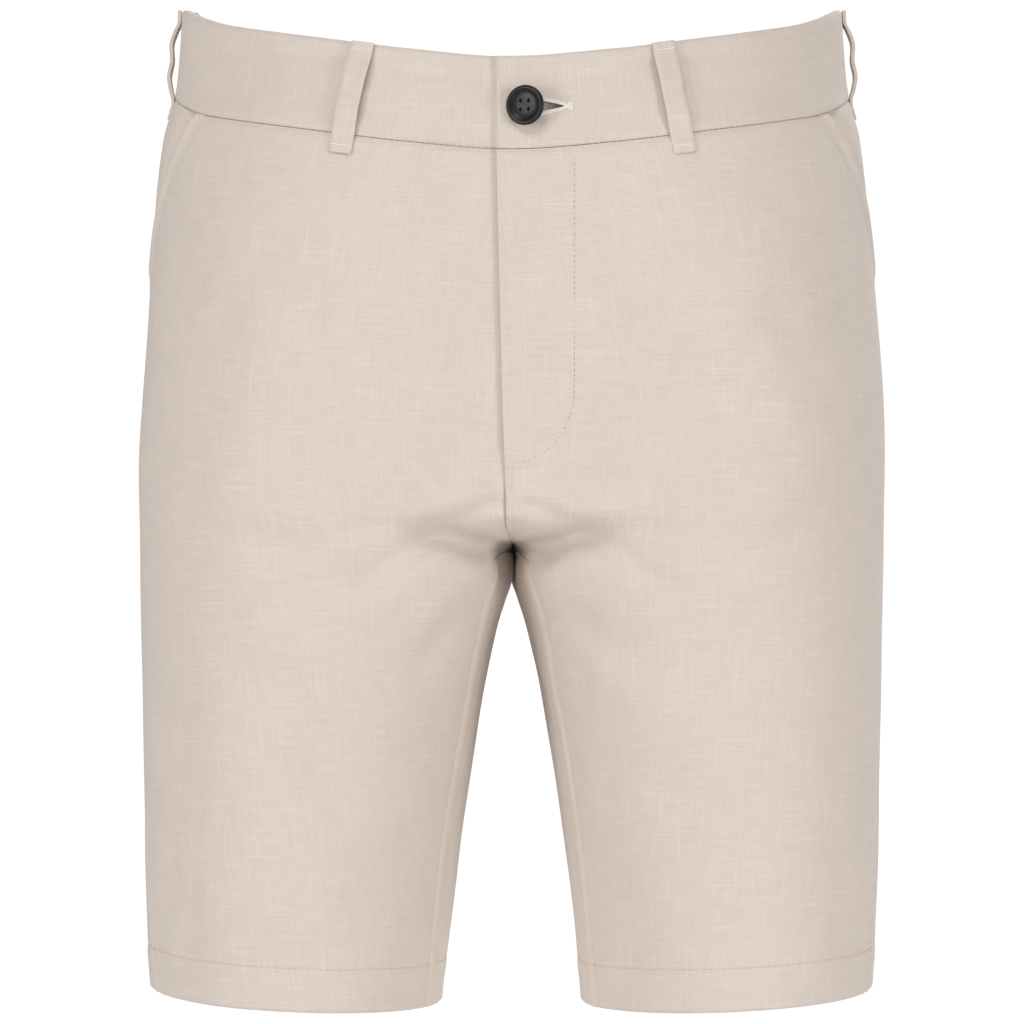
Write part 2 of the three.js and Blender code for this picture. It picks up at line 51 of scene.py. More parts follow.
scene = bpy.context.scene
scene.view_settings.view_transform = "Standard"
camera_data = bpy.data.cameras.new("camera")
camera_data.lens = CAMERA_LENS
camera_data.sensor_width = 36.0
camera = bpy.data.objects.new("camera", camera_data)
camera.location = (0.0, -CAMERA_DISTANCE, VIEW_CENTRE_Z)
camera.rotation_euler = (math.radians(90.0), 0.0, 0.0)
scene.collection.objects.link(camera)
scene.camera = camera


def mesh_piece(name, points, edges, faces):
    """A new mesh object in the scene, its points in metres."""
    mesh = bpy.data.meshes.new(name)
    mesh.from_pydata(points, edges, faces)
    mesh.update()
    piece = bpy.data.objects.new(name, mesh)
    scene.collection.objects.link(piece)
    return piece


def lamp(name, place, aim, size, power):
    data = bpy.data.lights.new(name, "AREA")
    data.shape = "RECTANGLE"
    data.size, data.size_y = size
    data.energy = power
    piece = bpy.data.objects.new(name, data)
    piece.location = place
    piece.rotation_euler = (Vector(aim) - Vector(place)).to_track_quat("-Z", "Y").to_euler()
    scene.collection.objects.link(piece)


lamp("top_softbox", (-0.5, -2.0, 1.7), (0.0, 0.0, -0.2), (1.0, 0.7), 20.0)
lamp("left_softbox", (-2.0, -1.9, -0.1), (0.0, 0.0, -0.25), (0.8, 1.2), 23.0)
lamp("right_softbox", (2.1, -1.8, -0.2), (0.0, 0.0, -0.25), (0.8, 1.0), 24.5)
lamp("low_softbox", (0.0, -1.8, -0.66), (0.0, 0.0, -0.22), (1.4, 0.3), 1.5)
lamp("back_softbox", (0.8, 2.2, 1.4), (0.0, 0.0, -0.2), (1.8, 1.4), 55.0)

world = bpy.data.worlds.new("studio")
scene.world = world
world.use_nodes = True
sky = world.node_tree
sky.nodes.clear()
sky_out = sky.nodes.new("ShaderNodeOutputWorld")
seen = sky.nodes.new("ShaderNodeBackground")
seen.inputs["Strength"].default_value = 1.05
ambient = sky.nodes.new("ShaderNodeBackground")
ambient.inputs["Color"].default_value = (1.0, 0.985, 0.97, 1.0)
ambient.inputs["Strength"].default_value = 0.36
seen.inputs["Color"].default_value = (1.0, 1.0, 1.0, 1.0)
ray = sky.nodes.new("ShaderNodeLightPath")
pick = sky.nodes.new("ShaderNodeMixShader")
sky.links.new(ray.outputs["Is Camera Ray"], pick.inputs[0])
sky.links.new(ambient.outputs[0], pick.inputs[1])
sky.links.new(seen.outputs[0], pick.inputs[2])
sky.links.new(pick.outputs[0], sky_out.inputs["Surface"])

FLOOR_Z = -0.75
FLOOR_HALF = 1.5
FLOOR_CORNERS = ((-1, -1), (1, -1), (1, 1), (-1, 1))
floor = mesh_piece("floor", [(x * FLOOR_HALF, y * FLOOR_HALF, FLOOR_Z) for x, y in FLOOR_CORNERS],
                   [], [(0, 1, 2, 3)])
floor_paint = bpy.data.materials.new("floor_paint")
floor_paint.use_nodes = True
floor_shader = floor_paint.node_tree.nodes["Principled BSDF"]
floor_shader.inputs["Base Color"].default_value = (0.86, 0.86, 0.86, 1)
floor_shader.inputs["Roughness"].default_value = 0.9
floor.data.materials.append(floor_paint)

# ---- Fronts ----------------------------------------------------------------
# The two front panels, cut from plain-weave undyed linen. The left front laps over the right
# along the fly; each has a slant pocket mouth, and its hem is turned up inside.
MM = 0.001
HALVES = (("right", -1), ("left", 1))
CLOTH = 1.4
HEM_CLOTH = 2.6
HEM_HEIGHT = 21.0
SEAM_GAP = 0.3
CROTCH_Z = -229.0
HEM_OUTER_Z = -446.0
HEM_DROP = 8.0
FRONT_RISE_CURVE = 16.0
BACK_RISE_CURVE = 120.0
FLAT_RISE = 0.9995
OUTER_FULLNESS = 2.2
INNER_FULLNESS = dict(z=(-460, -330, -262, -229, 45), full=(2.1, 2.3, 2.9, 3.6, 3.6))

# One half of the body by height: half width at the side, middle of the leg, depth to the front
# and to the back, and where the widest line lies.
BODY = dict(
    z=(45, 20, -8, -29, -59, -108, -158, -195, -237, -306, -380, -430, -460),
    side=(162.5, 163.5, 166, 171.5, 174.8, 178.7, 182.2, 183.4, 182.9, 181.4, 180.7, 179, 177.6),
    leg=(0, 4, 18, 34, 54, 78, 90, 94, 96, 98.5, 103.5, 105.8, 106.2),
    front=(112, 114, 117, 120, 122, 123, 121, 118, 112, 104, 96, 91, 88),
    back=(117, 119, 123, 129, 137, 145, 143, 136, 125, 112, 102, 95, 92),
    middle=(0, 0, 0, 0, 0, 0, -2, -4, -4, -2, 0, 2, 2),
)
LEG_GAP = dict(
    z=(-229, -240, -248, -252, -257, -266, -281, -306, -331, -356, -380, -405, -430, -460),
    half=(0.15, 0.18, 0.3, 1.5, 3.0, 6, 9.7, 14.9, 19, 22.8, 26.2, 29.2, 31.9, 34.2),
)
LEG_SEAMS = dict(
    z=(-229, -233, -238, -250, -270, -306, -360, -420, -460),
    inner=(0, 42, 64, 72, 65, 53, 48, 42, 39),
    outer=(0, 1, 2, 4, 8, 16, 28, 38, 42),
)
BAND_SEAM = dict(round=(-1, -0.5, 0, 0.36, 0.6, 0.8, 1), z=(-22, -18, -9.5, -25, -34, -40.5, -44))
FLY_EDGE = dict(
    z=(-40, -83, -125, -150, -172, -190, -205, -215, -229),
    left=(-7.2, -6.4, -5.4, -4.8, -4.2, -3.4, -3.0, -2.9, -2.2),
    right=(-4, -4, -4, 2.6, 2.2, 2.6, 3.2, 3.1, 2.4),
)


def curve(table, by, column):
    """A soft curve through one column of a table, flat where the column turns."""
    order = np.argsort(table[by])
    x = np.array(table[by], float)[order]
    y = np.array(table[column], float)[order]
    step = np.diff(y) / np.diff(x)
    slope = np.zeros(len(x))
    same = step[:-1] * step[1:] > 0
    total = np.where(same, step[:-1] + step[1:], 1.0)
    slope[1:-1] = np.where(same, 2 * step[:-1] * step[1:] / total, 0.0)

    def at(value):
        value = np.clip(value, x[0], x[-1])
        i = np.clip(np.searchsorted(x, value, "right") - 1, 0, len(x) - 2)
        width = x[i + 1] - x[i]
        t = (value - x[i]) / width
        rise = t * t * (3 - 2 * t)
        bend = t * (1 - t) * ((1 - t) * slope[i] - t * slope[i + 1]) * width
        return y[i] + (y[i + 1] - y[i]) * rise + bend

    return at


def ease(low, high, value):
    t = np.clip((value - low) / (high - low), 0.0, 1.0)
    return t * t * (3 - 2 * t)


def bell(distance, wide):
    """One at no distance, falling away softly over a width."""
    return np.exp(-((distance / wide) ** 2))


body_at = {name: curve(BODY, "z", name) for name in ("side", "leg", "front", "back", "middle")}
gap_at = curve(LEG_GAP, "z", "half")
inner_full = curve(INNER_FULLNESS, "z", "full")
seam_inner = curve(LEG_SEAMS, "z", "inner")
seam_outer = curve(LEG_SEAMS, "z", "outer")
band_seam = curve(BAND_SEAM, "round", "z")
fly_left = curve(FLY_EDGE, "z", "left")
fly_right = curve(FLY_EDGE, "z", "right")

SECTION_POINTS = 260
LEVEL_STEP = 1.5
NEAR_CROTCH = (0.02, 0.08, 0.2, 0.4, 0.7, 1.1)
levels = np.unique(np.concatenate([
    CROTCH_Z - np.arange(0, 240, LEVEL_STEP), CROTCH_Z + np.array(NEAR_CROTCH),
    CROTCH_Z + np.arange(LEVEL_STEP, 282, LEVEL_STEP)]))


def half_section(z, front):
    """The line of one half at a height, from the side to the centre or the inner leg."""
    leg, middle, side = body_at["leg"](z), body_at["middle"](z), body_at["side"](z)
    full = float(inner_full(z))
    depth = body_at["front" if front else "back"](z)
    joined = z > CROTCH_Z
    share, reach = 0.0, leg - gap_at(z)
    if joined:
        left = max(1 - (z - CROTCH_Z) / (FRONT_RISE_CURVE if front else BACK_RISE_CURVE), 0.0)
        share = min(math.sqrt(1 - left * left), FLAT_RISE)
        reach = max(leg, 0.5) / (1 - share ** full) ** (1 / full)
    turn = np.linspace(0, math.pi / 2, 150)
    end = math.asin(math.sqrt(1 - share ** full)) if joined else math.pi / 2
    inward = np.linspace(0, end, 150)[1:]
    wide = side - leg
    x = np.concatenate([leg + wide * np.cos(turn).clip(0) ** (2 / OUTER_FULLNESS),
                        leg - reach * np.sin(inward) ** (2 / full)])
    y = np.concatenate([np.sin(turn) ** (2 / OUTER_FULLNESS),
                        np.cos(inward).clip(0) ** (2 / full)]) * depth
    nx = np.concatenate([np.cos(turn).clip(0) ** (2 - 2 / OUTER_FULLNESS) / wide,
                         -np.sin(inward) ** (2 - 2 / full) / reach])
    ny = np.concatenate([np.sin(turn) ** (2 - 2 / OUTER_FULLNESS),
                         np.cos(inward).clip(0) ** (2 - 2 / full)]) / depth
    size = np.hypot(nx, ny)
    if front:
        y, ny = -y, -ny
    arc = np.concatenate([[0], np.cumsum(np.hypot(np.diff(x), np.diff(y)))])
    even = np.linspace(0, arc[-1], SECTION_POINTS)
    lines = [np.interp(even, arc, v) for v in (x, y + middle, nx / size, ny / size)]
    return arc[-1], np.array(lines)


sections = {side: [half_section(z, side == "front") for z in levels] for side in ("front", "back")}
lengths = {side: np.array([s[0] for s in sections[side]]) for side in sections}
shapes = {side: np.array([s[1] for s in sections[side]]) for side in sections}


# Away from the centre seams the shape passes smoothly from the seat into the legs.
CALM_NEAR = 55.0
CALM_REACH = 13.0
near_crotch = np.abs(levels - CROTCH_Z) < CALM_NEAR
level_step = np.gradient(levels)
for side in shapes:
    for k in range(SECTION_POINTS):
        reach = CALM_REACH * float(ease(0.995, 0.80, k / (SECTION_POINTS - 1)))
        if reach < 0.5:
            continue
        apart = levels[near_crotch][:, None] - levels[None, :]
        spread = reach * (1 - np.abs(levels[near_crotch] - CROTCH_Z) / CALM_NEAR)[:, None] + 0.3
        weight = bell(apart, spread) * level_step[None, :]
        calmed = weight @ shapes[side][:, :, k] / weight.sum(1)[:, None]
        shapes[side][near_crotch, :, k] = calmed
    walked = np.cumsum(np.hypot(*np.diff(shapes[side][:, :2], axis=2).transpose(1, 0, 2)), axis=1)
    walked = np.concatenate([np.zeros((len(levels), 1)), walked], axis=1)
    shapes[side] = np.concatenate([shapes[side], walked[:, None]], axis=1)


def length_at(side, z):
    return np.interp(z, levels, lengths[side])


def along_section(side, z, arc):
    i = np.clip(np.searchsorted(levels, z, "right") - 1, 0, len(levels) - 2)
    t = (z - levels[i]) / (levels[i + 1] - levels[i])
    place = np.clip(arc / length_at(side, z), 0, 1) * (SECTION_POINTS - 1)
    k = np.minimum(place.astype(int), SECTION_POINTS - 2)
    s = place - k
    shape = shapes[side]
    rows = [(1 - s) * shape[j, :, k].T + s * shape[j, :, k + 1].T for j in (i, i + 1)]
    return (1 - t) * rows[0] + t * rows[1]


def skin(z, arc):
    """x, y, outward direction and distance walked from the side, at a height and arc."""
    z, arc = np.broadcast_arrays(np.asarray(z, float), np.asarray(arc, float))
    shape, z, arc = z.shape, z.ravel(), arc.ravel()
    out = np.zeros((5, len(z)))
    for own, other, sign in (("front", "back", 1), ("back", "front", -1)):
        mine = arc * sign >= 0 if sign > 0 else arc < 0
        zz, run = z[mine], np.abs(arc[mine])
        full = length_at(own, zz)
        past = run > full
        joined = zz > CROTCH_Z
        values = along_section(own, zz, np.where(past & joined, 2 * full - run, run))
        values[0] = np.where(past & joined, -values[0], values[0])
        values[2] = np.where(past & joined, -values[2], values[2])
        beyond = along_section(other, zz, length_at(other, zz) - (run - full))
        values = np.where(past & ~joined, beyond, values)
        out[:, mine] = values
    return out.reshape((5,) + shape)


# Creases of the fronts and backs: from one end to the other, x and z of each, in millimetres;
# bow is how far the middle hangs below the straight line, wide its half width, and deep its
# depth, below zero for a ridge. Each row stands under these columns.
CREASE_COLUMNS = ("x0", "z0", "x1", "z1", "bow", "wide", "deep")
FRONT_CREASES = (
    (-7, -209, -74, -250, -3, 6.0, 3.0),
    (6, -210, 72, -249, -4, 5.5, 2.9),
    (-5, -203, -46, -215, -2, 5.0, -0.9),
    (6, -203, 40, -216, -2, 5.0, -0.8),
    (-9, -224, -29, -262, 3, 5.0, -1.8),
    (9, -224, 28, -258, 3, 5.0, -1.6),
    (-16, -240, -44, -286, 4, 6.0, 1.7),
    (17, -238, 47, -279, 4, 6.0, 1.5),
    (-8, -197, -62, -186, 3, 6.5, 1.0),
    (8, -195, 60, -198, 2, 6.5, 1.1),
    (14, -183, 78, -168, 3, 8.0, 0.6),
    (-27, -109, -8, -110, 1, 2.8, 0.5),
    (-30, -139, -8, -137, 1, 2.6, 0.55),
    (-24, -147, -8, -149, -1, 2.4, 0.45),
    (-28, -158, -8, -156, 1, 2.8, 0.5),
    (2, -139, 34, -158, -2, 3.5, 0.55),
    (-82, -78, -54, -93, 3, 11, 1.0),
    (49, -79, 80, -91, 3, 11, 0.9),
    (-92, -268, -40, -291, 4, 13, 1.2),
    (42, -270, 90, -287, 4, 13, 1.1),
    (-104, -330, -62, -352, 3, 14, 0.8),
    (66, -338, 112, -351, 3, 15, 0.7),
    (-152, -382, -155, -424, 0, 4.5, 1.2),
    (-162, -372, -164, -410, 0, 4.0, 0.8),
    (156, -384, 158, -420, 0, 4.5, 1.0),
    (-120, -96, -150, -150, 4, 9, 0.8),
    (122, -104, 148, -162, 4, 9, 0.8),
)
BACK_CREASES = (
    (-6, -198, -70, -232, -6, 7.5, 2.4),
    (6, -203, 78, -233, -6, 8.0, 2.2),
    (-8, -222, -44, -262, -3, 6.0, 1.8),
    (9, -224, 40, -268, -3, 6.0, 1.7),
    (-30, -238, -118, -262, -5, 10, 1.5),
    (34, -246, 110, -258, -5, 9.0, 1.3),
    (-5, -170, -52, -182, -3, 9.0, 0.9),
    (6, -164, 58, -184, -3, 9.0, 0.8),
    (-60, -40, -84, -74, 2, 8.0, 0.7),
    (64, -38, 82, -80, 2, 8.0, 0.8),
    (-84, -300, -122, -352, 5, 14, 1.1),
    (78, -306, 126, -346, 5, 14, 1.0),
    (-132, -372, -138, -424, 0, 6.0, 0.9),
    (140, -380, 143, -426, 0, 6.0, 0.8),
)


def crease_field(x, z, creases):
    """How far each point is drawn inward by the creases near it."""
    total = np.zeros_like(x)
    for row in creases:
        c = dict(zip(CREASE_COLUMNS, row))
        dx, dz = c["x1"] - c["x0"], c["z1"] - c["z0"]
        run = math.hypot(dx, dz)
        t = ((x - c["x0"]) * dx + (z - c["z0"]) * dz) / run ** 2
        inside = np.clip(t, 0, 1)
        aside = ((x - c["x0"]) * dz - (z - c["z0"]) * dx) / run
        drop = c["bow"] * 4 * inside * (1 - inside) * (dx / run)
        wide = c["wide"] * (0.75 + 0.5 * inside)
        across = (aside - drop) / wide
        past = (t - inside) * run / wide
        swell = np.sin(math.pi * np.clip(0.12 + 0.76 * t, 0, 1))
        taper = bell(past, 1) * (0.35 + 0.65 * swell)
        banks = 0.32 * bell(across - 1.7, 1) + 0.2 * bell(across + 1.8, 1)
        shape = bell(across, 1) - banks
        total += c["deep"] * taper * shape
    return total


def slack(x, y, z):
    """Soft uneven sag of hung linen, a few tenths of a millimetre."""
    waves = (
        (0.041, 0.033, 0.018, 0.4, 0.34),
        (-0.027, 0.061, 0.031, 1.9, 0.26),
        (0.083, -0.047, 0.052, 3.1, 0.15),
        (0.055, 0.072, -0.094, 5.2, 0.10),
        (-0.127, 0.113, 0.071, 2.6, 0.06),
    )
    total = np.zeros_like(x)
    for kx, ky, kz, turn, high in waves:
        total += high * np.sin(kx * x + ky * y + kz * z + turn)
    return total


def relief(x, y, z, ny):
    """Inward depth of the cloth's own surface at a place."""
    front = ease(0.12, 0.55, -ny) + 0.45 * ease(-0.6, 0.0, -ny) * (1 - ease(0.12, 0.55, -ny))
    back = ease(0.1, 0.5, ny)
    depth = crease_field(x, z, FRONT_CREASES) * front + crease_field(x, z, BACK_CREASES) * back
    calm = ease(-12, -60, z) * 0.75 + 0.25
    return depth + slack(x, y, z) * calm


def rolled(distance, deep=0.75, wide=1.3):
    """The small valley beside a seam and the faint swell next to it."""
    return deep * bell(distance, wide) - 0.28 * bell(distance - 3.4, 1.7)


def shell(name, outer, inner, uv):
    """A closed wall of cloth from an outer and an inner grid of points, in millimetres."""
    rows, columns = outer.shape[:2]
    count = rows * columns
    points = np.concatenate([outer.reshape(-1, 3), inner.reshape(-1, 3)]) * MM
    index = np.arange(count).reshape(rows, columns)
    a, b, c, d = index[:-1, :-1], index[1:, :-1], index[1:, 1:], index[:-1, 1:]
    faces = [np.stack([a, b, c, d], -1).reshape(-1, 4),
             np.stack([a, d, c, b], -1).reshape(-1, 4) + count]
    rims = [index[0], index[:, -1], index[-1, ::-1], index[::-1, 0]]
    for rim in rims:
        faces.append(np.stack([rim[:-1], rim[1:], rim[1:] + count, rim[:-1] + count], -1))
    faces = np.concatenate(faces)
    p = points[faces]
    volume = np.einsum("ij,ij->i", p[:, 0], np.cross(p[:, 1], p[:, 2])).sum()
    volume += np.einsum("ij,ij->i", p[:, 0], np.cross(p[:, 2], p[:, 3])).sum()
    if volume < 0:
        faces = faces[:, ::-1]
    mesh = bpy.data.meshes.new(name)
    mesh.from_pydata(points.tolist(), [], faces.tolist())
    mesh.polygons.foreach_set("use_smooth", np.ones(len(faces), bool))
    weave = np.concatenate([uv.reshape(-1, 2), uv.reshape(-1, 2)]) * MM
    layer = mesh.uv_layers.new(name="weave")
    layer.data.foreach_set("uv", weave[faces.ravel()].ravel().astype(np.float32))
    mesh.update()
    mesh.set_sharp_from_angle(angle=math.radians(50))
    piece = bpy.data.objects.new(name, mesh)
    scene.collection.objects.link(piece)
    return piece


def grain_uv(side, z, arc):
    """Weave coordinates of a place, in millimetres: measured round the cloth outside
    the middle of the leg, straight across inside it, and round again on the inner thigh."""
    x, y, _, _, walked = skin(z, arc)
    z, arc = np.broadcast_arrays(z, arc)
    leg = body_at["leg"](z)
    front = arc >= 0
    depth = np.where(front, body_at["front"](z), body_at["back"](z))
    round_to_leg = np.where(front, leg_arc["front"](z), leg_arc["back"](z))
    turned_in = np.maximum(depth - np.abs(y - body_at["middle"](z)), 0) * ease(-212, -250, z)
    run = np.where(x < leg, round_to_leg + leg - x + turned_in, walked)
    return np.stack([side * np.where(front, run, -run), z], -1)


def arc_to_leg(face):
    """The arc from the side to the middle of the leg, by height."""
    runs = []
    for i, level in enumerate(levels):
        line = shapes[face][i, 0]
        inside = int(np.argmax(line <= body_at["leg"](level) + 0.01))
        runs.append(shapes[face][i, 4, inside])
    return lambda z: np.interp(z, levels, runs)


leg_arc = {face: arc_to_leg(face) for face in ("front", "back")}


def pinch(x, y, z):
    """Sideways waver of the two legs where they press together below the crotch."""
    return 1.6 * np.sin(y / 8.0) * bell(z + 238, 11) * bell(x, 14)


def on_skin(side, z, arc, depth):
    """Points of a half at a depth inside its surface, with the relief of the cloth."""
    x, y, nx, ny = skin(z, arc)[:4]
    depth = depth + relief(side * x, y, z, ny)
    nx = nx * (1 - bell(x, 9.0) * ease(-236, -222, z))
    size = np.hypot(nx, ny)
    x, y = side * (x - nx / size * depth), y - ny / size * depth
    return np.stack([x + pinch(x, y, z), y, np.broadcast_to(z, x.shape)], -1)


def cloth_piece(name, side, z, arc, depth, thick, uv=None):
    """A wall of cloth over a grid of heights and arcs, its outer face at a depth."""
    if uv is None:
        uv = grain_uv(side, z, arc)
    return shell(name, on_skin(side, z, arc, depth), on_skin(side, z, arc, depth + thick), uv)


def tight_ends(count, width):
    """Shares from 0 to 1 that crowd at both ends, so that a seam can roll under."""
    near = np.array([0.0, 0.35, 0.8, 1.4, 2.2, 3.2, 4.6]) / width
    return np.concatenate([near, np.linspace(6.5 / width, 1 - 6.5 / width, count), 1 - near[::-1]])


UPPER_ROWS = 84
LOWER_ROWS = 78
CROWDING = 1.35
EDGE_SHIFT_POWER = 2.0


def hem_height(around):
    turn = np.cos(math.pi / 2 * np.minimum(np.abs(around), 1))
    return HEM_OUTER_Z - HEM_DROP * (1 - turn * turn)


def row_heights(top, hem):
    """Heights down a panel: crowded under the waistband, at the crotch and at the hem."""
    upper = np.linspace(0, 1, UPPER_ROWS)[:-1]
    under_band = np.array([0.0, 0.4, 0.9, 1.6, 2.6, 3.8])[:, None]
    start = top - 5.2
    high = CROTCH_Z + (start - CROTCH_Z) * (1 - upper[:, None]) ** CROWDING
    hem_top = hem + HEM_HEIGHT
    lower = np.linspace(0, 1, LOWER_ROWS)[:, None] ** CROWDING
    low = CROTCH_Z + (hem_top + 3.5 - CROTCH_Z) * lower
    stitch = hem_top - np.array([-2.2, -1.2, -0.5, 0, 0.5, 1.2, 2.2, 3.6])[:, None]
    turn = hem + np.array([14, 11, 8, 5, 3, 1.8, 1.0, 0.45, 0.0])[:, None]
    return np.concatenate([top - under_band, high, low, stitch, turn], 0)


POCKET_TOP_ARC = 73.0
POCKET_FOOT_Z = -108.0
POCKET_HIGH = 91.0
BAND_LOW_Z = -17.0


def pocket_arc(z):
    return POCKET_TOP_ARC * np.maximum((z - POCKET_FOOT_Z) / POCKET_HIGH, 0)


def front_side_edge(z):
    return np.maximum(seam_outer(z), pocket_arc(z)) + SEAM_GAP / 2


def front_inner_edge(z, side):
    joined = z > CROTCH_Z
    inset = np.where(joined, (fly_left if side > 0 else fly_right)(z), SEAM_GAP / 2)
    return length_at("front", z) - inset - np.where(joined, 0, seam_inner(z))


def back_side_edge(z):
    return seam_outer(z) - SEAM_GAP / 2


def back_inner_edge(z):
    return -length_at("back", z) + SEAM_GAP / 2 - np.where(z > CROTCH_Z, 0, seam_inner(z))


def panel_grid(outer, inner, base, count, width):
    """Heights and arcs of a panel between its side edge and its inner edge."""
    share = tight_ends(count, width)

    def arc_at(z):
        return outer(z) + (base - outer(z)) * share + (inner(z) - base) * share ** EDGE_SHIFT_POWER

    def around(z):
        arc = arc_at(z)
        return arc / np.where(arc >= 0, length_at("front", z), length_at("back", z))

    top = np.full_like(share, BAND_LOW_Z)
    for _ in range(3):
        top = band_seam(around(top)) - SEAM_GAP / 2
    turned = around(np.full_like(share, HEM_OUTER_Z))
    turned = np.where(np.abs(turned) > 1, 2 - np.abs(turned), turned)
    z = row_heights(top, hem_height(turned))
    return z, arc_at(z)


def hem_thickness(z, hem):
    return CLOTH + (HEM_CLOTH - CLOTH) * ease(HEM_HEIGHT + 0.6, HEM_HEIGHT - 0.6, z - hem)


def hem_depth(z, hem):
    """The hem line is pulled in by its stitches and the fold turns in at the very edge."""
    above = z - hem
    groove = 0.4 * bell(above - HEM_HEIGHT, 0.9)
    swell = -0.3 * bell(above - HEM_HEIGHT + 5, 4.0)
    return groove + swell + 0.9 * ease(1.5, 0.0, above) ** 2


FRONT_STEP = CLOTH + SEAM_GAP + 0.15


def fly_step(z, arc):
    """The right front drops a layer to pass under the left one."""
    from_centre = length_at("front", z) - arc
    return FRONT_STEP * (1 - ease(9, 52, from_centre)) * ease(-207, -180, z)


def fly_relief(z, arc):
    """Left front: a raised folded edge, and the doubled cloth inside the curved stitching."""
    x = length_at("front", z) - arc
    line = j_line_x(z)
    inside = ease(line + 1.0, line - 1.0, x) * ease(-194, -186, z)
    edge = -0.45 * bell(x - fly_left(z) - 1.8, 1.4) * ease(-206, -195, z)
    groove = 0.3 * bell(x - line, 1.0) * ease(-193, -188, z)
    return -0.3 * inside + edge + groove


J_STRAIGHT_X = 29.0
J_BOTTOM_Z = -190.0
J_BEND_HIGH = 38.0


def j_line_x(z):
    """How far from the centre the curved fly stitching lies at a height."""
    up = np.clip((z - J_BOTTOM_Z) / J_BEND_HIGH, 0, 1)
    return J_STRAIGHT_X * np.sqrt(np.maximum(1 - (1 - up) ** 2.3, 0))


def centre_ridge(z, arc, side):
    """Below the fly the centre seam stands up as a narrow ridge."""
    x = length_at("front", z) - arc
    band = ease(-231, -222, z) * (1 - ease(-196, -186, z))
    if side < 0:
        return 0.5 * band * bell(x - 3.2, 0.8)
    valley = 0.55 * bell(x - 0.8, 0.7)
    return band * (valley - 0.75 * bell(x + 1.5, 1.2))


def front_depth(side, z, arc, top, hem):
    """Depth of a front's face: rolled seams, the pocket lip, the fly and the centre ridge."""
    to_side = arc - front_side_edge(z)
    to_inner = front_inner_edge(z, side) - arc
    mouth = ease(4, 12, pocket_arc(z))
    depth = rolled(to_side, 0.6) * (1 - mouth) + hem_depth(z, hem) + rolled(top - z, 0.7)
    lip = 1.3 * bell(to_side - 2.2, 2.6) - 0.5 * ease(1.0, 0.0, to_side)
    depth = depth - mouth * lip + mouth * 0.7 * bell(to_side - 9.5, 4.0)
    below = ease(-232, -244, z)
    centre = (0.5 if side > 0 else 1.0) * ease(-196, -208, z) * (1 - below)
    inseam = -0.75 * bell(to_inner - 1.0, 0.9)
    inseam = inseam + 0.35 * bell(to_inner - 3.0, 1.0)
    depth = depth + rolled(to_inner, 0.7) * centre + inseam * below + centre_ridge(z, arc, side)
    return depth + (fly_relief(z, arc) if side > 0 else fly_step(z, arc))


FRONT_COLUMNS, FRONT_WIDTH = 84, 205.0
front_pieces = {}
for name, side in HALVES:
    z, arc = panel_grid(front_side_edge, lambda h: front_inner_edge(h, side),
                        length_at("front", CROTCH_Z), FRONT_COLUMNS, FRONT_WIDTH)
    depth = front_depth(side, z, arc, z[0], z[-1])
    thick = hem_thickness(z, z[-1])
    front_pieces[name] = cloth_piece(f"{name}_front_cloth", side, z, arc, depth, thick)


class Shade:
    """A value in a material that adds and multiplies like a number."""

    def __init__(self, tree, socket):
        self.tree = tree
        self.socket = socket

    def feed(self, target, value):
        if isinstance(value, Shade):
            self.tree.links.new(value.socket, target)
        else:
            target.default_value = value

    def node(self, kind, out=0, settings=None, **inputs):
        made = self.tree.nodes.new(kind)
        for key, value in (settings or {}).items():
            setattr(made, key, value)
        for key, value in inputs.items():
            numbered = key.startswith("in") and key[2:].isdigit()
            self.feed(made.inputs[int(key[2:]) if numbered else key.replace("_", " ")], value)
        return Shade(self.tree, made.outputs[out])

    def math(self, operation, first, second=0.0):
        settings = dict(operation=operation)
        return self.node("ShaderNodeMath", settings=settings, in0=first, in1=second)

    def __add__(self, other):
        return self.math("ADD", self, other)

    def __sub__(self, other):
        return self.math("SUBTRACT", self, other)

    def __mul__(self, other):
        return self.math("MULTIPLY", self, other)

    def between(self, low, high):
        """The colour at this share of the way from one colour to another."""
        return self.node("ShaderNodeMix", out=2, settings=dict(data_type="RGBA"), in0=self,
                         in6=tuple(low) + (1.0,), in7=tuple(high) + (1.0,))

    def limited(self):
        return self.node("ShaderNodeClamp", Value=self)


WARP_PITCH = 0.00062
WEFT_PITCH = 0.00070


